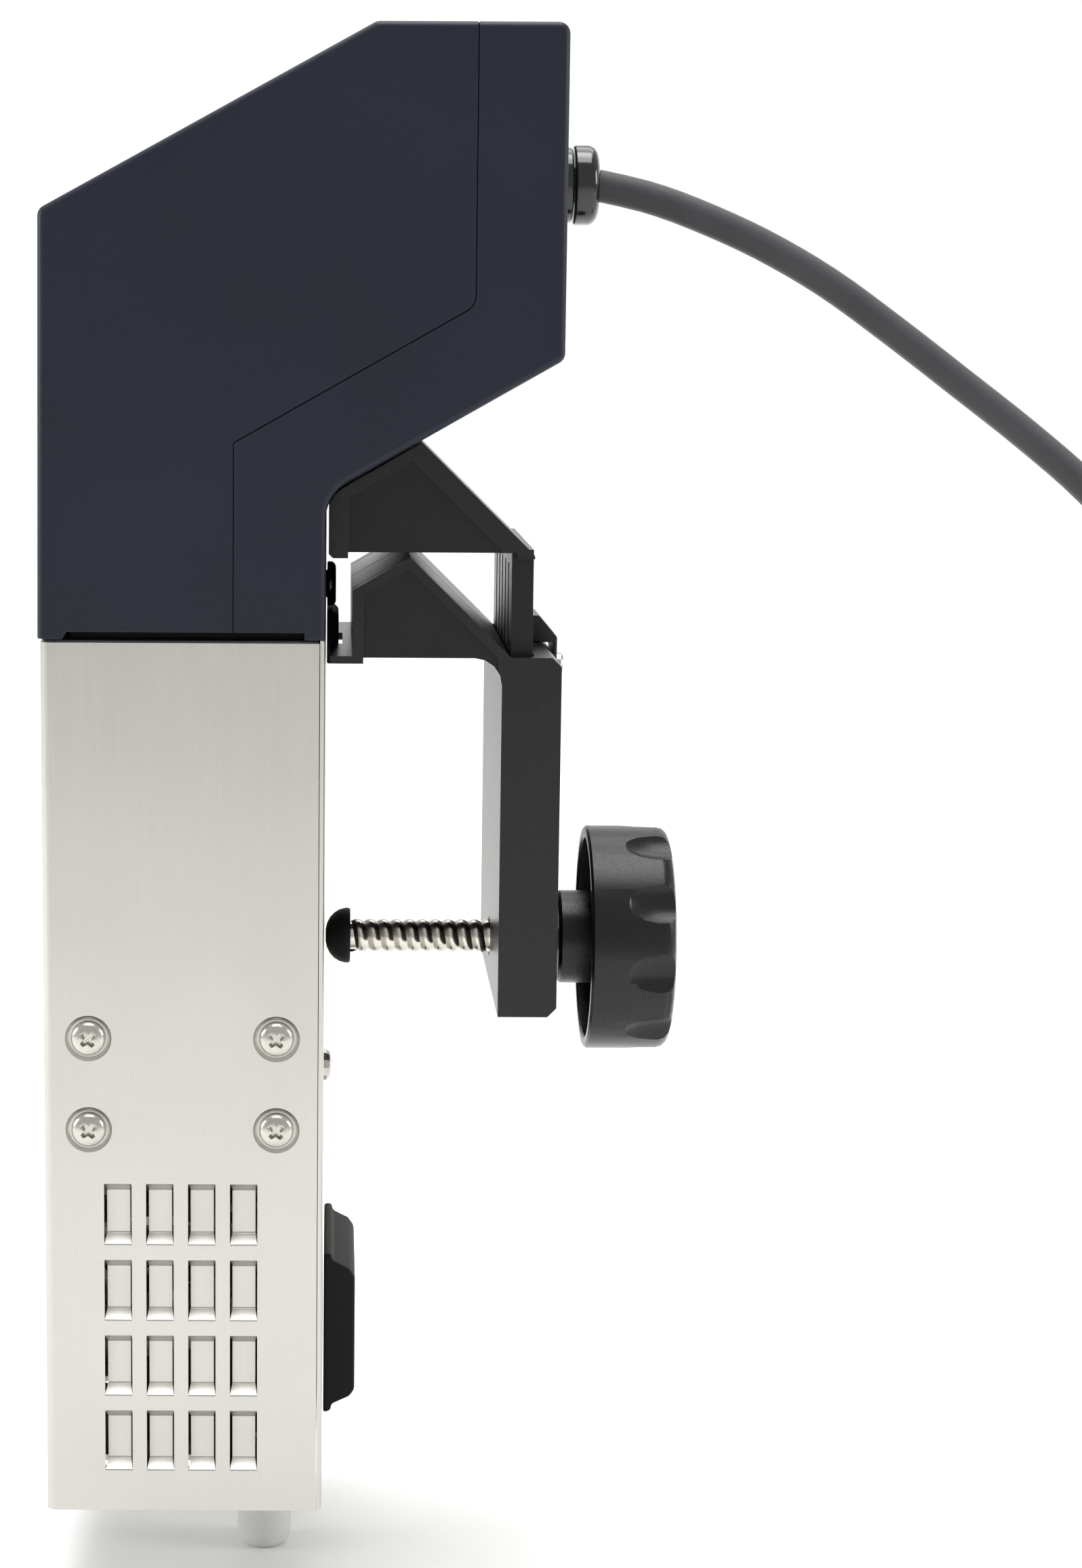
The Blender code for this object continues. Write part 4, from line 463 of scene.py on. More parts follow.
class Graph:
    """Node graph of one material, with its shader and output in place."""

    def __init__(self, name: str) -> None:
        """Make an empty material of that name."""
        self.material = bpy.data.materials.new(name)
        self.material.use_nodes = True
        self.tree = self.material.node_tree
        self.tree.nodes.clear()
        self.shader = self.add("ShaderNodeBsdfPrincipled", {})
        self.add("ShaderNodeOutputMaterial", {"Surface": self.shader.outputs[0]})
        self.place = self.add("ShaderNodeTexCoord", {}).outputs["Object"]

    def add(self, kind: str, inputs: dict, **settings: object) -> bpy.types.Node:
        """Add a node with its settings, values and links.

        Args:
            kind: the node's type.
            inputs: value or linked socket for each input.
            settings: properties of the node.
        Returns:
            The new node.
        """
        node = self.tree.nodes.new(kind)
        for name, value in settings.items():
            setattr(node, name, value)
        self.set(node, inputs)
        return node

    def set(self, node: bpy.types.Node, inputs: dict) -> None:
        """Give a node's inputs their values or links."""
        for name, value in inputs.items():
            socket = node.inputs[name]
            if isinstance(value, Socket):
                self.tree.links.new(value, socket)
            else:
                socket.default_value = value

    def noise(self, size: float, stretch: Point = (1.0, 1.0, 1.0), detail: float = 3.0) -> Socket:
        """Noise whose patches have a real size.

        Args:
            size: of a patch, in millimetres.
            stretch: how many times longer a patch is along each axis.
            detail: of the noise.
        Returns:
            The noise's value.
        """
        scale = tuple(1 / s for s in stretch)
        placed = self.add("ShaderNodeMapping", {"Vector": self.place, "Scale": scale}).outputs[0]
        return self.add("ShaderNodeTexNoise", {"Vector": placed, "Scale": 1 / (size * MM), "Detail": detail,
                                               "Roughness": 0.55}).outputs[0]

    def between(self, value: Socket, low: float, high: float) -> Socket:
        """Spread the middle of a noise over a range of numbers."""
        return self.add("ShaderNodeMapRange", {"Value": value, "From Min": 0.3, "From Max": 0.7,
                                               "To Min": low, "To Max": high}).outputs[0]

    def blend(self, factor: Socket, first: object, second: object) -> Socket:
        """Mix two colours by a factor."""
        return self.add("ShaderNodeMix", {0: factor, 6: first, 7: second}, data_type="RGBA").outputs[2]


@dataclass(frozen=True)
class Finish:
    """What a piece is made of and how its surface was made.

    Sizes are real millimetres. The wander is a slow drift of colour over a part, as wear, dust and
    handling give it, and the grain is the fine pattern that its making left.
    """

    name: str
    slot: str
    colour: str
    roughness: float
    metallic: float = 0.0
    ior: float = 1.5
    specular: float = 0.5
    coat: float = 0.0
    anisotropy: float = 0.0
    transmission: float = 0.0
    sheen: float = 0.0
    grain: float = 0.6
    relief: float = 0.02
    stretch: Point = (1.0, 1.0, 1.0)
    spread: float = 0.06
    patch: float = 30.0
    wander: float = 0.12

    def material(self) -> bpy.types.Material:
        """Material of this finish, made once."""
        return bpy.data.materials.get(self.name) or self.make()

    def make(self) -> bpy.types.Material:
        """Build the node graph: drift of colour, grain in roughness and in relief."""
        graph = Graph(self.name)
        grain = graph.noise(self.grain, self.stretch)
        graph.set(graph.shader, {
            "Base Color": self.tint(graph, grain),
            "Roughness": graph.between(grain, self.roughness - self.spread, self.roughness + self.spread),
            "Metallic": self.metallic, "IOR": self.ior, "Specular IOR Level": self.specular,
            "Coat Weight": self.coat, "Anisotropic": self.anisotropy, "Sheen Weight": self.sheen,
            "Transmission Weight": self.transmission,
            "Normal": graph.add("ShaderNodeBump", {"Height": self.height(graph, grain), "Strength": 1.0,
                                                   "Distance": self.relief * MM}).outputs[0]})
        return graph.material

    def tint(self, graph: Graph, grain: Socket) -> Socket:
        """Colour that drifts over the part and with its grain."""
        base = Vector(linear(self.colour)[:3])
        dark = (*(base * (1 - self.wander)), 1.0)
        light = (*(base * (1 + self.wander)), 1.0)
        drift = graph.between(graph.noise(self.patch, detail=2.0), 0.0, 1.0)
        fine = graph.between(grain, 0.0, 1.0)
        both = graph.add("ShaderNodeMath", {0: drift, 1: fine}, operation="ADD").outputs[0]
        half = graph.add("ShaderNodeMath", {0: both, 1: 0.5}, operation="MULTIPLY").outputs[0]
        return graph.blend(half, dark, light)

    def height(self, graph: Graph, grain: Socket) -> Socket:
        """Relief of the surface."""
        return grain


@dataclass(frozen=True)
class LaminateFinish(Finish):
    """Glass fibre board under solder mask: green, with copper runs showing as faint raised lines."""

    run: float = 1.6

    def height(self, graph: Graph, grain: Socket) -> Socket:
        """Copper runs a real pitch apart, as ridges."""
        return graph.add("ShaderNodeTexVoronoi", {"Vector": graph.place, "Scale": 1 / (self.run * MM)},
                         distance="MANHATTAN").outputs[0]


# 304 stainless sheet, brushed lengthwise: a warm light grey whose fine upright lines catch the light.
# The lines are drawn about 0.35 mm wide, coarser than the real 0.1 mm, so that they show.
BRUSHED_STEEL = Finish(
    "brushed_stainless_304", "brushed_steel", "C2C0BB", 0.34, metallic=1.0, anisotropy=0.5, grain=0.35,
    relief=0.012, stretch=(1.0, 1.0, 60.0), spread=0.05, patch=45.0, wander=0.05)
# Plain mill-finish stainless inside: duller and greyer than the brushed sheet.
MILL_STEEL = Finish(
    "mill_finish_stainless", "inner_steel", "ACABA6", 0.42, metallic=1.0, grain=0.8, relief=0.01,
    stretch=(6.0, 1.0, 1.0), patch=20.0, wander=0.1)
# Cold-headed and tumbled stainless screws: soft bright grey with small marks of handling.
SCREW_STEEL = Finish(
    "tumbled_stainless_screw", "fastener_steel", "C3C0B9", 0.26, metallic=1.0, grain=0.5, relief=0.004,
    patch=2.5, wander=0.07)
# Rolled and ground stainless rod: bright, with a fine run of turned lines.
ROLLED_STEEL = Finish(
    "rolled_stainless_rod", "bright_steel", "CFCBC2", 0.2, metallic=1.0, grain=0.25, relief=0.006,
    stretch=(1.0, 8.0, 8.0), patch=6.0, wander=0.1)
# Sintered bronze bush: warm, open-grained and a little oily.
BRONZE = Finish(
    "sintered_bronze", "bearing_bronze", "A9804A", 0.38, metallic=1.0, grain=0.3, relief=0.02, patch=4.0)
# Extruded aluminium heat sink: pale, with fine lines along the extrusion.
ALUMINIUM = Finish(
    "extruded_aluminium", "aluminium", "B9BBBD", 0.36, metallic=1.0, grain=0.3, relief=0.012,
    stretch=(1.0, 1.0, 12.0), patch=12.0, wander=0.08)
# Moulded ABS with a fine spark-eroded texture: deep navy grey, almost even, with soft light on its edges.
# The grain is drawn 0.55 mm wide, about twice the real one, so that it shows.
HOUSING_PLASTIC = Finish(
    "navy_textured_abs", "housing_plastic", "191D2A", 0.44, ior=1.53, specular=0.25, grain=0.55,
    relief=0.03, spread=0.06, patch=60.0, wander=0.22)
# Glass-filled nylon from a ground mould: neutral black with a low, slightly streaky shine.
CLAMP_PLASTIC = Finish(
    "black_glass_filled_nylon", "clamp_plastic", "101011", 0.3, ior=1.53, specular=0.34, grain=0.5,
    relief=0.02, patch=18.0, wander=0.2)
# The same nylon in the recessed webs, where the mould was left rougher: duller, and darker by painted shade
# that stands in for the recess.
CLAMP_WEB_SHADED = Finish(
    "black_nylon_web_painted_shade", "clamp_plastic", "0D0D0C", 0.5, ior=1.53, specular=0.3, grain=0.7, relief=0.05,
    patch=14.0, wander=0.3)
# Plain black PBT for pieces inside: dull and even.
INNER_PLASTIC = Finish("black_pbt", "inner_plastic", "1C1C1D", 0.5, grain=0.7, relief=0.02, patch=12.0)
# Polished black ABS for caps and the panel: nearly a mirror, with the faintest waviness.
GLOSS_PLASTIC = Finish(
    "polished_black_abs", "gloss_plastic", "0E0E10", 0.12, ior=1.53, coat=0.25, grain=9.0, relief=0.02,
    spread=0.03, patch=25.0)
# Moulded silicone and TPE: soft black with a dusty bloom.
RUBBER = Finish(
    "black_moulded_tpe", "rubber", "0A0A0B", 0.6, ior=1.48, specular=0.22, sheen=0.03, grain=0.4,
    relief=0.03, patch=9.0, wander=0.2)
# Extruded rubber cable sheath: dark grey, dull, with faint marks along and round it.
SHEATH = Finish(
    "rubber_cable_sheath", "cord_jacket", "3B3B3E", 0.6, ior=1.49, specular=0.4, sheen=0.15, grain=0.7,
    relief=0.04, patch=14.0, wander=0.2)
# Tinted acrylic pane: black glass with a deep shine.
PANE = Finish(
    "tinted_acrylic_pane", "display_pane", "07080B", 0.06, ior=1.49, coat=0.5, grain=12.0, relief=0.008,
    spread=0.02, patch=30.0)
# Solder-masked circuit board: semi-gloss green with the copper runs standing up a little.
LAMINATE = LaminateFinish(
    "solder_masked_laminate", "circuit_board", "1E4A2E", 0.38, grain=1.2, relief=0.06, patch=8.0)
# Frosted polypropylene: milky and translucent, letting light through softly.
FROSTED = Finish(
    "frosted_polypropylene", "frosted_plastic", "F1F2F1", 0.4, ior=1.49, transmission=0.45, grain=0.6,
    relief=0.03, patch=8.0, wander=0.05)
# Matte white studio floor of painted board: an even pale ground.
FLOOR_PAINT = Finish(
    "matte_white_floor_paint", "floor", "F4F4F3", 0.8, specular=0.1, grain=3.0, relief=0.02, patch=400.0,
    wander=0.01)

FINISHES = {finish.slot: finish for finish in (
    BRUSHED_STEEL, MILL_STEEL, SCREW_STEEL, ROLLED_STEEL, BRONZE, ALUMINIUM, HOUSING_PLASTIC, CLAMP_PLASTIC,
    INNER_PLASTIC, GLOSS_PLASTIC, RUBBER, SHEATH, PANE, LAMINATE, FROSTED)}
SLOTS = {row["node"]: row["material_slot"] for row in frame["record"]["subparts"]}


# ---------- studio

@dataclass
class Studio:
    """Camera, floor and soft lights."""

    eye: Point = (0.0013, -0.7648, 0.1528)
    pitch: float = 8.47
    roll: float = 0.30
    lens: float = 70.18
    shift: float = 0.1345
    floor_height: float = -29.0
    floor_reach: float = 5000.0
    wall_place: float = 3000.0
    sweep: float = 900.0
    sky: str = "F2F2F2"
    sky_strength: float = 0.68
    lamps: tuple = (("left_softbox", (-1.5, -0.15, 0.5), 0.7, 13.0),
                    ("right_softbox", (1.7, -0.2, 0.6), 0.7, 10.0),
                    ("top_softbox", (0.0, -0.1, 1.9), 1.2, 24.0),
                    ("wall_wash", (0.0, 1.2, 3.0), 3.0, 60.0))
    aim: Point = (0.0, 0.0, 0.05)

    def camera(self) -> None:
        """Set up the camera."""
        data = bpy.data.cameras.new("view_camera")
        data.lens = self.lens
        data.shift_x = self.shift
        camera = bpy.data.objects.new("view_camera", data)
        tilt = Matrix.Rotation(math.radians(90 - self.pitch), 4, "X")
        camera.matrix_world = (Matrix.Translation(self.eye) @ tilt
                               @ Matrix.Rotation(math.radians(self.roll), 4, "Z"))
        link(camera)
        bpy.context.scene.camera = camera

    def floor(self) -> None:
        """Lay the pale floor that runs up behind as one sweep."""
        reach = self.floor_reach
        low = self.floor_height
        corners = [(-reach, low), (self.wall_place, low), (self.wall_place, reach)]
        bend = rounded(corners, {1: self.sweep}, 12, closed=False)
        form = Form.chain("floor", [spot(-reach, y, z) for y, z in bend], closed=False)
        form.pull(x=2 * reach).shape.data.materials.append(FLOOR_PAINT.material())
        form.smooth(40)

    def lights(self) -> None:
        """Hang the softboxes and set the sky."""
        world = bpy.data.worlds.new("sky")
        world.use_nodes = True
        sky = world.node_tree.nodes["Background"]
        sky.inputs[0].default_value = linear(self.sky)
        sky.inputs[1].default_value = self.sky_strength
        bpy.context.scene.world = world
        for name, place, size, power in self.lamps:
            data = bpy.data.lights.new(name, "AREA")
            data.shape = "RECTANGLE"
            data.size = data.size_y = size
            data.energy = power
            lamp = bpy.data.objects.new(name, data)
            lamp.location = place
            lamp.rotation_euler = (Vector(self.aim) - Vector(place)).to_track_quat("-Z", "Y").to_euler()
            link(lamp)
        bpy.context.scene.view_settings.view_transform = "Standard"

    def build(self) -> None:
        """Make the whole studio."""
        self.camera()
        self.floor()
        self.lights()
        LOG.info("studio: camera, floor and %d lights", len(self.lamps))


# ---------- power lead

def spline(points: Sequence[Vector], step: float) -> list[Vector]:
    """Smooth line through points, with even steps.

    Args:
        points: in metres, in order.
        step: distance between the made points, in metres.
    Returns:
        Points along the line.
    """
    ends = [points[0] * 2 - points[1], *points, points[-1] * 2 - points[-2]]
    made: list[Vector] = []
    for a, b, c, d in zip(ends, ends[1:], ends[2:], ends[3:]):
        count = max(1, round((c - b).length / step))
        for i in range(count):
            t = i / count
            made.append(0.5 * (2 * b + (c - a) * t + (2 * a - 5 * b + 4 * c - d) * t * t
                               + (3 * b - a - 3 * c + d) * t * t * t))
    return [*made, points[-1]]


def ease(value: float, start: float, end: float) -> float:
    """Smooth step from 0 at the start to 1 at the end."""
    t = min(1.0, max(0.0, (value - start) / (end - start)))
    return t * t * (3 - 2 * t)


@dataclass
class PowerLead:
    """Cord from the gland down to the counter and into a tied coil, with its plug.

    Turns and climbs are degrees of winding in which the cord moves in, out or up one layer.
    """

    diameter: float = 7.8
    route: tuple = (
        (66.2, 0, 321.0), (78.0, 0, 318.4), (90.4, 0, 314.2), (106.9, 0, 307.0), (123.5, 0, 297.7),
        (140.2, 0, 286.0), (157.1, 0, 273.4), (174.0, 0, 260.6), (190.0, 0, 247.2), (203.5, 0, 232.5),
        (213.5, 0, 214.5), (220.5, 0, 190.0), (224.5, 0, 160.0), (226.3, 0, 125.0), (227.0, 0, 90.0),
        (227.2, 0, 60.0), (227.7, -0.2, 34.0), (229.4, -0.8, 16.5), (232.9, -2.1, 2.0), (239.0, -4.3, -10.8),
        (247.6, -6.9, -19.3), (258.5, -8.8, -23.9), (270.6, -8.6, -25.0), (283.2, -4.6, -25.0))
    tail: tuple = (
        (250.0, 1.7, -9.3), (258.8, -3.3, -8.9), (269.5, -7.3, -8.0), (281.5, -9.0, -6.7),
        (293.0, -7.0, -5.0), (303.0, -1.2, -3.1), (310.5, 7.8, -1.2), (314.1, 17.0, 0.3), (315.0, 24.0, 0.8))
    step: float = 5.0
    centre: Flat = (272.0, 43.0)
    outer: float = 46.9
    ground: float = -25.0
    first_turn: int = 30
    last_turn: int = 1401
    turn_in: Flat = (235, 325)
    turn_out: Flat = (875, 965)
    climbs: tuple = ((555, 645), (1195, 1285))
    neck: tuple = (
        (4.0, 0.0), (5.0, 0.0), (5.6, 0.6), (5.6, 2.2), (5.0, 2.5), (5.0, 3.3), (6.1, 3.7), (6.2, 5.4),
        (5.6, 5.8), (5.7, 6.6), (6.9, 7.0), (7.2, 8.8), (6.8, 9.3), (8.6, 11.5), (11.0, 14.5), (12.3, 17.5),
        (12.4, 30.0), (11.8, 32.0), (12.4, 34.0), (12.3, 36.8), (11.3, 38.0), (0.0, 38.0), (0.0, 2.0),
        (4.0, 2.0))
    earth: tuple = ((0.0, 0.0), (2.35, 0.0), (2.35, 20.5), (1.9, 22.2), (0.9, 23.0), (0.0, 23.0))
    blade_root: float = 33.0
    tie_slack: float = 0.35
    tie_lift: float = 0.5
    tie_corner: float = 3.6
    tie_width: float = 10.0
    tie_turn: float = 45.0

    def coil_point(self, turn: float) -> Vector:
        """Centre of the cord at an angle of winding, in degrees from the coil's near side."""
        inwards = ease(turn, *self.turn_in) - ease(turn, *self.turn_out)
        layers = sum(ease(turn, *climb) for climb in self.climbs)
        radius = self.outer - self.diameter * inwards
        angle = math.radians(turn - 90)
        return spot(self.centre[0] + radius * math.cos(angle), self.centre[1] + radius * math.sin(angle),
                    self.ground + self.diameter * layers)

    def line(self) -> list[Vector]:
        """Centre line of the whole cord, in metres."""
        wound = [self.coil_point(turn) for turn in range(self.first_turn, self.last_turn, 10)]
        return spline([spot(*p) for p in self.route] + wound + [spot(*p) for p in self.tail], self.step * MM)

    def plug(self) -> list[Shape]:
        """Mould the plug with its ribbed neck, and set its blades and earth pin in it."""
        x, y, z = self.tail[-1]
        body = Form.turned("plug_body", self.neck, (x, y, z), Axis.Y, 48)
        body.soften(0.25, 2, 30).smooth(32)
        root, tip = y + self.blade_root, y + 55.5
        pins = Form.block("plug_pins", (x - 7.1, root, z - 1.2), (x - 5.6, tip, z + 5.2))
        pins.join(Form.block("blade", (x + 5.6, root, z - 1.2), (x + 7.1, tip, z + 5.2)))
        pins.join(Form.turned("earth", self.earth, (x, root, z - 5.4), Axis.Y, 24))
        pins.soften(0.25, 2, 40).smooth(40)
        return [body.fit(SHEATH, "root", ["plug"]), pins.fit(ROLLED_STEEL, "root")]

    def tie(self) -> None:
        """Wrap the strap that holds the coil's turns together."""
        half = self.diameter + self.tie_slack
        middle = self.outer - self.diameter / 2
        near, far = middle - half, middle + half
        foot = self.ground - self.diameter / 2 + self.tie_lift
        top = self.ground + self.diameter / 2 + half
        corners = [(near, foot), (far, foot), (far, top), (near, top)]
        loop = rounded(corners, dict.fromkeys(range(4), self.tie_corner), 5)
        turn = Matrix.Rotation(math.radians(self.tie_turn), 3, "Z")
        centre = Vector((*self.centre, 0.0))
        start = -self.tie_width / 2
        form = Form.chain("coil_tie", [spot(*(turn @ Vector((r, start, z)) + centre)) for r, z in loop])
        bpy.ops.mesh.delete(type="ONLY_FACE")
        bpy.ops.mesh.select_mode(type="EDGE")
        take_all()
        across = turn @ Vector((0.0, self.tie_width, 0.0))
        form.pull(x=across.x, y=across.y)
        form.outwards()
        form.modify("SOLIDIFY", thickness=1.0 * MM, offset=0.0)
        form.soften(0.25, 2, 40).smooth(40).fit(RUBBER, "root")

    def build(self) -> None:
        points = self.line()
        ends = self.plug()
        settle()
        data = bpy.data.curves.new("power_lead", "CURVE")
        data.dimensions = "3D"
        run = data.splines.new("POLY")
        run.points.add(len(points) - 1)
        for knot, point in zip(run.points, points):
            knot.co = (*point, 1.0)
        data.bevel_depth = self.diameter / 2 * MM
        data.bevel_resolution = 4
        data.use_fill_caps = True
        shape = bpy.data.objects.new("power_lead", data)
        link(shape)
        shape.select_set(True)
        bpy.context.view_layer.objects.active = shape
        bpy.ops.object.convert(target="MESH")
        form = Form(bpy.context.object, "power_lead").smooth(60)
        cord = form.fit(SHEATH, "root", ["power_cord", "cord_coil"])
        self.tie()


# ---------- column

@dataclass
class Column:
    """Folded stainless column with its pressed louvres, dimples and pan-head screws.

    The top is drawn in by (inwards, rise) steps. Seat and screw are half sections.
    """

    depth: float = 67.0
    half_width: float = 52.0
    height: float = 213.6
    sheet: float = 1.2
    bend: float = 2.2
    seam: float = 0.15
    louvre: Flat = (6.6, 15.0)
    pitch: Flat = (10.1, 18.95)
    first: Flat = (-52.6, 10.3)
    rows: int = 4
    press: float = 3.0
    ramp: float = 1.7
    lip: float = 0.5
    top: tuple = ((0.3, 0.5), (0.9, 0.3))
    screws: tuple = ((-56.2, 95.5), (-11.2, 95.5), (-56.2, 117.9), (-11.2, 117.9))
    dish: float = 0.7
    seat: tuple = ((0.0, -4.0), (1.8, -4.0), (1.8, -0.7), (4.5, -0.7), (4.85, -0.616), (5.15, -0.434),
                   (5.4, -0.21), (5.6, 0.02), (5.6, 0.6), (0.0, 0.6))
    screw: tuple = ((0.0, -4.0), (1.6, -4.0), (1.6, 0.0), (3.85, 0.0), (4.15, 0.3), (4.08775, 0.9),
                    (3.8595, 1.4), (3.403, 1.85), (2.573, 2.2), (1.245, 2.4), (0.0, 2.4))
    recess: tuple = ((2.5, -0.6), (2.5, 0.6), (0.9, 0.9))
    recess_turn: float = 41.0

    def louvre_cells(self) -> list[Flat]:
        """Lowest corner of every louvre, as x and height."""
        return [(self.first[0] + self.pitch[0] * i, self.first[1] + self.pitch[1] * j)
                for i in range(self.rows) for j in range(self.rows)]

    def in_louvre(self, at: Vector, margin: float = 0.0) -> bool:
        """Whether a point lies in a louvre's opening or within a margin of it."""
        wide, tall = self.louvre
        return any(x - margin < at.x < x + wide + margin and z - margin < at.z < z + tall + margin
                   for x, z in self.louvre_cells())

    def on_lip(self, at: Vector, along: Vector, low: bool) -> bool:
        """Whether an edge is the low or the high edge of a pressed face."""
        if abs(along.x) < 0.9 or abs(at.y) > self.half_width - self.press * 0.9:
            return False
        edge = self.lip if low else self.louvre[1] - self.lip
        return any(abs(at.z - (z + edge)) < 0.2 for _, z in self.louvre_cells())

    def sheet_body(self) -> None:
        """Fold the sheet, press the louvres and dish the screw seats."""
        rear = -self.sheet - self.seam
        wide = self.half_width
        flat = self.height - sum(rise for _, rise in self.top)
        form = Form.block("column_sheet", (-self.depth, -wide, 0.0), (rear, wide, flat)).edit()
        form.pick("FACE", lambda at, normal: normal.x > 0.5 or abs(normal.z) > 0.5)
        bpy.ops.mesh.delete(type="FACE")
        form.pick("EDGE", lambda at, along: abs(along.z) > 0.9 and at.x < -self.depth + 0.1)
        form.round_edges(self.bend, 5)
        for i in range(self.rows):
            x = self.first[0] + self.pitch[0] * i
            z = self.first[1] + self.pitch[1] * i
            for cut, across in ((spot(x, 0, 0), (1, 0, 0)), (spot(x + self.louvre[0], 0, 0), (1, 0, 0)),
                                (spot(0, 0, z), (0, 0, 1)), (spot(0, 0, z + self.louvre[1]), (0, 0, 1))):
                take_all()
                bpy.ops.mesh.bisect(plane_co=cut, plane_no=across)
        for inwards, rise in self.top:
            form.pick("EDGE", lambda at, along: at.z > self.height - 1 and abs(along.z) < 0.1)
            form.pull(z=rise)
            middle = -self.depth / 2
            bpy.ops.transform.resize(value=(1 + inwards / middle, 1 - inwards / wide, 1),
                                     center_override=tuple(spot(middle, 0, self.height)))
        form.outwards()
        form.pick("FACE", lambda at, normal: abs(normal.y) > 0.9 and self.in_louvre(at))
        bpy.ops.mesh.inset(thickness=self.lip * MM, depth=-self.press * MM, use_individual=True,
                           use_even_offset=True)
        for low in (True, False):
            form.pick("EDGE", lambda at, along: self.on_lip(at, along, low))
            form.move(z=self.ramp if low else -self.ramp)
        form.pick("FACE", lambda at, normal: abs(normal.x) > 0.7 and abs(at.y) < wide - 0.05
                  and at.x > -self.depth + 5)
        bpy.ops.mesh.delete(type="FACE")
        form.pick("EDGE", lambda at, along: abs(along.x) > 0.9 and self.in_louvre(at, 0.1))
        form.round_edges(0.3, 2)
        form.modify("SOLIDIFY", thickness=self.sheet * MM, offset=-1.0, use_even_offset=True)
        for facing, side in ((Axis.MINUS_Y, -1), (Axis.Y, 1)):
            tool = Form.turned("dimple", self.seat, (0.0, 0.0, 0.0), facing, 40)
            form.without(tool.copies((x, side * wide, z) for x, z in self.screws))
        form.soften(0.12, 1, 50)
        form.smooth(24).fit(BRUSHED_STEEL, "root", ["column_shell"])

    def screw_form(self, name: str, facing: Axis) -> Form:
        """Pan-head screw with a tapered cross recess, its seat at the origin.

        Args:
            name: the form's name.
            facing: the way the head points.
        Returns:
            The finished form.
        """
        form = Form.turned(name, self.screw, (0.0, 0.0, LEVEL), Axis.Z, 40)
        cross = []
        for quarter in range(4):
            turn = Matrix.Rotation(math.radians(90 * quarter + self.recess_turn), 2)
            cross += [turn @ Vector(p) for p in self.recess]
        tool = Form.chain("recess", [spot(p.x, p.y, LEVEL + 0.7) for p in cross]).pull(z=3.0)
        tool.pick("FACE", lambda at, normal: abs(normal.z) > 0.9 and at.z < LEVEL + 0.8)
        bpy.ops.transform.resize(value=(0.6, 0.6, 1.0), center_override=tuple(spot(0, 0, LEVEL)))
        form.without(tool.outwards()).soften(0.1, 2, 28)
        return form.place((0.0, 0.0, LEVEL), facing)

    def side_screws(self) -> None:
        """Screw the sides on, four screws each."""
        for word, facing, side in (("near", Axis.MINUS_Y, -1), ("far", Axis.Y, 1)):
            form = self.screw_form("side_screws_" + word, facing)
            seat = side * (self.half_width - self.dish + 0.05)
            form.copies((x, seat, z - LEVEL) for x, z in self.screws)
            nodes = [f"side_screw_{word}_{i}" for i in range(1, 5)]
            form.smooth(30).fit(SCREW_STEEL, "root", nodes)

    def build(self) -> None:
        """Make the whole column."""
        self.sheet_body()
        self.side_screws()


# ---------- clamp screw

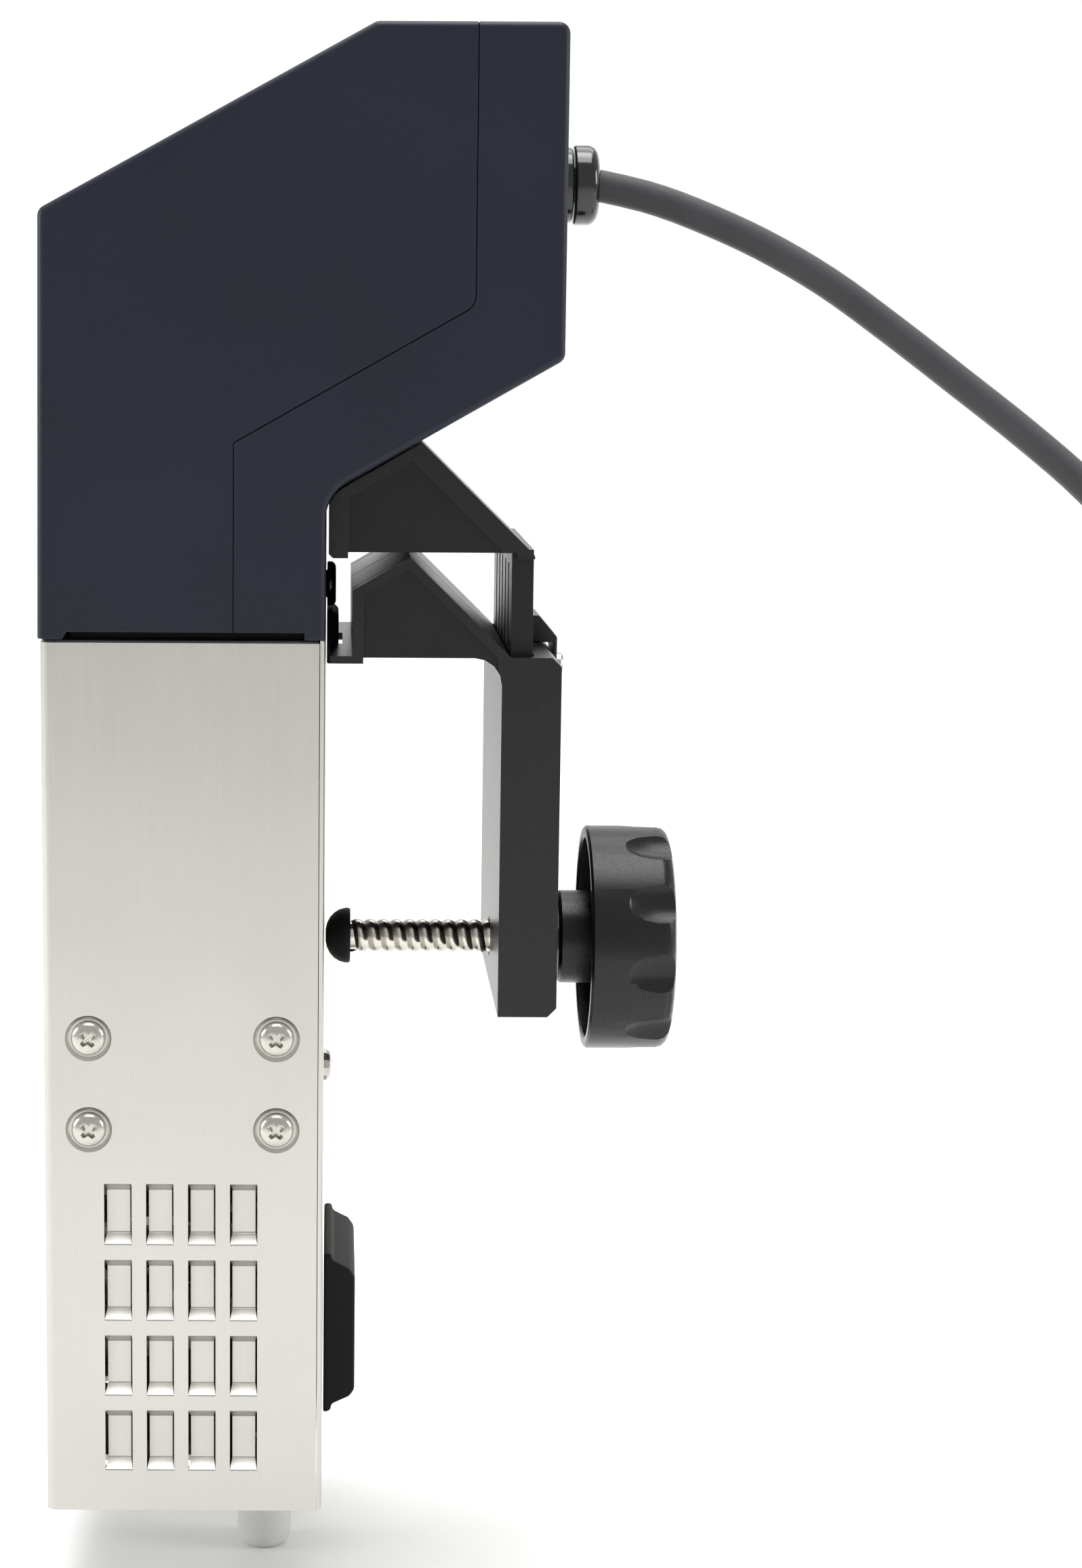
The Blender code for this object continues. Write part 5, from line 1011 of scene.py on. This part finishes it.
@dataclass
class ClampScrew:
    """Rolled screw with its rubber pad and its scalloped hand knob."""

    axis_height: float = 133.0
    thread: Flat = (4.3, 3.65)
    pitch: float = 3.3
    rod: Flat = (5.2, 61.0)
    wave_steps: int = 12
    pad_start: float = 0.3
    pad: tuple = ((0.0, 0.0), (1.6, 0.02), (3.1, 0.35), (4.6, 1.1), (5.8, 2.2), (6.6, 3.5), (7.0, 4.9),
                  (7.05, 5.8), (6.7, 6.3), (4.6, 6.3), (4.45, 4.7), (0.0, 4.7))
    cup: tuple = (
        (4.5, 59.0), (10.9, 59.0), (11.8, 59.9), (11.8, 82.5), (13.0, 83.7), (14.0, 84.0), (23.0, 84.0),
        (24.7, 83.3), (25.4, 81.6), (25.4, 66.5), (25.9, 66.0), (27.7, 66.0), (28.3, 66.6), (28.3, 83.8),
        (27.9, 85.3), (26.9, 86.4), (25.3, 87.0), (0.0, 87.0), (0.0, 65.0), (4.5, 65.0))
    scallop: tuple = ((0.0, -14.0), (2.4, -13.7), (4.5, -12.6), (6.2, -10.6), (7.3, -7.8), (7.9, -4.2),
                      (8.0, 0.0), (8.0, 5.0), (0.0, 5.0))
    scallop_rear: float = 86.4
    scallop_reach: float = 33.95
    scallop_phase: float = 0.28
    scallops: int = 10

    def at(self, x: float) -> Point:
        """Point on the screw's axis."""
        return (x, 0.0, self.axis_height)

    def screw(self) -> None:
        """Wind the rounded thread round its core."""
        crest, root = self.thread
        start, end = self.rod
        reach = end - start
        wave = []
        for i in range(self.wave_steps + 1):
            part = i / self.wave_steps
            swell = (0.5 - 0.5 * math.cos(2 * math.pi * part)) ** 0.55
            wave.append(Vector((root + (crest - root) * swell, 0, self.pitch * part)) * MM)
        form = Form.chain("clamp_thread", wave, closed=False)
        form.modify("SCREW", axis="Z", screw_offset=self.pitch * MM, iterations=int(reach / self.pitch),
                    steps=28, render_steps=28, angle=2 * math.pi, use_merge_vertices=True,
                    merge_threshold=1e-6)
        form.edit().outwards()
        form.place(self.at(start), Axis.X)
        core = [(0.0, 0.0), (root - 0.1, 0.0), (root - 0.05, 0.4), (root - 0.05, reach), (0.0, reach)]
        form.join(Form.turned("core", core, self.at(start), Axis.X, 32))
        form.smooth(50).fit(ROLLED_STEEL, "screw", ["clamp_screw"])

    def rubber_pad(self) -> None:
        """Mould the domed pad."""
        form = Form.turned("pad_dome", self.pad, self.at(self.pad_start), Axis.X, 48)
        form.smooth(40).fit(RUBBER, "pad", ["screw_pad"])

    def knob(self) -> None:
        """Mould the knob: hub, open cup and its ring of scallops."""
        form = Form.turned("hand_knob", self.cup, self.at(0.0), Axis.X, 120)
        for i in range(self.scallops):
            angle = 2 * math.pi * (i + self.scallop_phase) / self.scallops
            place = (self.scallop_rear, self.scallop_reach * math.sin(angle),
                     self.axis_height + self.scallop_reach * math.cos(angle))
            form.without(Form.turned("scallop", self.scallop, place, Axis.X, 40))
        form.soften(0.45, 2, 42)
        form.smooth(34).fit(CLAMP_PLASTIC, "screw", ["clamp_knob"])

    def build(self) -> None:
        """Make the whole clamp screw."""
        self.screw()
        self.rubber_pad()
        self.knob()


# ---------- head

@dataclass
class Head:
    """Two moulded shells that meet at a stepped seam and carry the panel."""

    half_width: float = 55.0
    wall: float = 2.5
    edge: float = 1.7
    gap: float = 0.12
    foot: float = 214.0
    top: float = 355.0
    front: tuple = ((-67.35, 213.9), (-21.5, 213.9), (-21.5, 259.6), (34.2, 291.2), (34.2, 355.0),
                    (11.1, 355.0), (-66.5, 312.6))
    rear: tuple = ((-21.5, 213.9), (0.0, 213.9), (0.0, 247.75), (55.0, 279.0), (55.0, 355.0), (34.2, 355.0),
                   (34.2, 291.2), (-21.5, 259.6))
    hollow: tuple = ((-64.8, 218.1), (-2.5, 218.1), (-2.5, 249.2), (52.5, 280.4), (52.5, 352.5),
                     (11.7, 352.5), (-64.0, 311.1))
    notch: tuple = ((-62.1, 213.0), (-4.9, 213.0), (-4.9, 215.6), (-60.4, 215.6))
    opening: tuple = ((-63.0, -40.0, 212.0), (-12.5, 40.0, 219.0))
    panel_centre: Flat = (-27.7, 333.8)
    panel_tilt: float = 28.65
    panel_half: Flat = (37.15, 46.15)
    vent: tuple = ((45.0, -26.0, 287.0), (60.0, 26.0, 289.2))
    vents: int = 4
    vent_pitch: float = 5.5
    bores: tuple = ((55.0, 321.0, 6.0), (0.0, 222.7, 3.6))
    bore_reach: float = 8.0

    def shell(self, name: str, outline: Sequence[Flat], radii: dict[int, float]) -> Form:
        """Mould one shell: its outline, its rounded sides and its hollow.

        Args:
            name: the shell's name.
            outline: corners as x and height.
            radii: radius of each rounded corner.
        Returns:
            The shell, still to be smoothed.
        """
        wide = self.half_width
        form = Form.slab(name, rounded(outline, radii, 5), -wide, wide)
        form.pick("EDGE", lambda at, along: abs(at.y) > wide - 0.01 and not self.on_seam(at, along))
        form.round_edges(self.edge, 4)
        inner = wide - self.wall
        form.without(Form.slab("hollow", rounded(self.hollow, {2: 12.0}, 5), -inner, inner))
        form.without(Form.slab("notch", self.notch, -70.0, 70.0))
        return form.without(Form.block("opening", *self.opening))

    def finish(self, form: Form, node: str) -> None:
        """Ease the last sharp edges of a shell and dress it."""
        form.soften(0.22, 2, 60)
        form.smooth(34).fit(HOUSING_PLASTIC, "root", [node])

    def on_seam(self, at: Vector, along: Vector) -> bool:
        """Whether an edge lies on the seam's three stretches or on the foot."""
        if at.z < self.foot:
            return True
        (x1, _), (_, z2), (x3, z3) = self.front[1:4]
        upright = min(abs(at.x - x1), abs(at.x - x3)) < 0.4 and abs(along.z) > 0.95
        slanted = x1 - 0.5 < at.x < x3 + 0.5 and abs(at.z - (z2 + (at.x - x1) * (z3 - z2) / (x3 - x1))) < 2.6
        return upright or (slanted and abs(at.z - self.top) > 1.0)

    def front_shell(self) -> None:
        """Mould the front shell with the opening for the panel."""
        outline = [(x - self.gap / 2 if i in (1, 2, 3, 4) else x, z + (self.gap / 2 if i in (2, 3) else 0))
                   for i, (x, z) in enumerate(self.front)]
        form = self.shell("head_front", outline, {3: 4.0, 5: 3.0, 6: 2.6})
        turn = Matrix.Rotation(math.radians(self.panel_tilt), 2)
        half, across = self.panel_half
        corners = [Vector(self.panel_centre) + turn @ Vector(corner)
                   for corner in ((-half, -6), (half, -6), (half, 6), (-half, 6))]
        form.without(Form.slab("panel_gap", corners, -across, across))
        self.finish(form, "front_housing")

    def rear_shell(self) -> None:
        """Mould the rear shell with its vents and the holes for the gland and the cap."""
        outline = [(x + self.gap / 2 if i in (0, 5, 6, 7) else x, z - (self.gap / 2 if i in (6, 7) else 0))
                   for i, (x, z) in enumerate(self.rear)]
        form = self.shell("head_rear", outline, {2: 9.5, 3: 2.6, 4: 2.6, 6: 4.0})
        slots = Form.block("vents", *self.vent)
        form.without(slots.copies((0.0, 0.0, self.vent_pitch * i) for i in range(self.vents)))
        reach = self.bore_reach
        for x, z, radius in self.bores:
            bore = [(0.0, -reach), (radius, -reach), (radius, reach), (0.0, reach)]
            form.without(Form.turned("bore", bore, (x, 0.0, z), Axis.X, 32))
        self.finish(form, "rear_housing")

    def build(self) -> None:
        """Make both shells."""
        self.front_shell()
        self.rear_shell()


# ---------- mouldings

@dataclass
class Mouldings:
    """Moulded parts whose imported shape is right, with their edges eased as a mould leaves them."""

    eased: tuple = (("hanging_arm", "clamp_arm", "root", 0.4), ("clamp_bracket", "clamp_jaw", "jaw", 0.5),
                    ("wall_pad", "wall_bumper", "root", 0.7), ("rear_buffer", "upper_buffer", "root", 0.4),
                    ("gland_shell", "gland_body", "root", 0.5), ("gland_ring", "gland_nut", "root", 0.6),
                    ("panel_frame", "control_panel", "root", 0.3), ("pane", "display_window", "root", 0.15),
                    ("outlet", "outlet_nozzle", "root", 0.4), ("rear_sheet", "rear_panel", "root", 0.1),
                    ("retainer", "bar_retainer", "jaw", 0.3), ("rear_cap", "service_cap", "root", 0.3))

    webbed: tuple = ("clamp_arm", "clamp_jaw")
    web: Flat = (35.0, 42.7)
    grooves: tuple = (-36.0, 0.0, 36.0)
    groove_half: float = 0.6
    groove_outline: tuple = ((4.0, 225.0), (4.0, 222.5), (20.05, 231.7), (40.0, 212.1), (42.0, 213.0),
                             (42.0, 216.0), (20.05, 236.0))

    def build(self) -> None:
        """Ease and dress each moulding."""
        for name, node, body, width in self.eased:
            form = Form.solid(name, node)
            if node == "clamp_jaw":
                self.groove(form)
            form.soften(width, 2, 30).smooth(36)
            # Recessed webs take a darker copy of the nylon: painted shade for the recess, with a rougher
            # grain.
            if node in self.webbed:
                form.face_off(CLAMP_WEB_SHADED, self.on_web)
            form.fit(FINISHES[SLOTS[node]], body, [node])

    def on_web(self, at: Vector, normal: Vector) -> bool:
        """Whether a face lies on a recessed web."""
        return abs(normal.y) > 0.9 and self.web[0] < abs(at.y) < self.web[1]

    def groove(self, form: Form) -> None:
        """Cut the shallow grooves that run down the bracket's roof."""
        for y in self.grooves:
            form.without(Form.slab("groove", self.groove_outline, y - self.groove_half, y + self.groove_half))


def dress_solids() -> None:
    """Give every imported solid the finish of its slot."""
    for name, slot in SLOTS.items():
        materials = frame["nodes"][name].data.materials
        materials.clear()
        materials.append(FINISHES[slot].material())
    LOG.info("packed solids: %d dressed", len(frame["nodes"]))


def main() -> None:
    """Build everything in order, with a word on each."""
    logging.basicConfig(level=logging.INFO, format="%(name)s: %(message)s")
    Studio().build()
    PowerLead().build()
    dress_solids()
    Column().build()
    Head().build()
    ClampScrew().build()
    Mouldings().build()


if __name__ == "__main__":
    main()
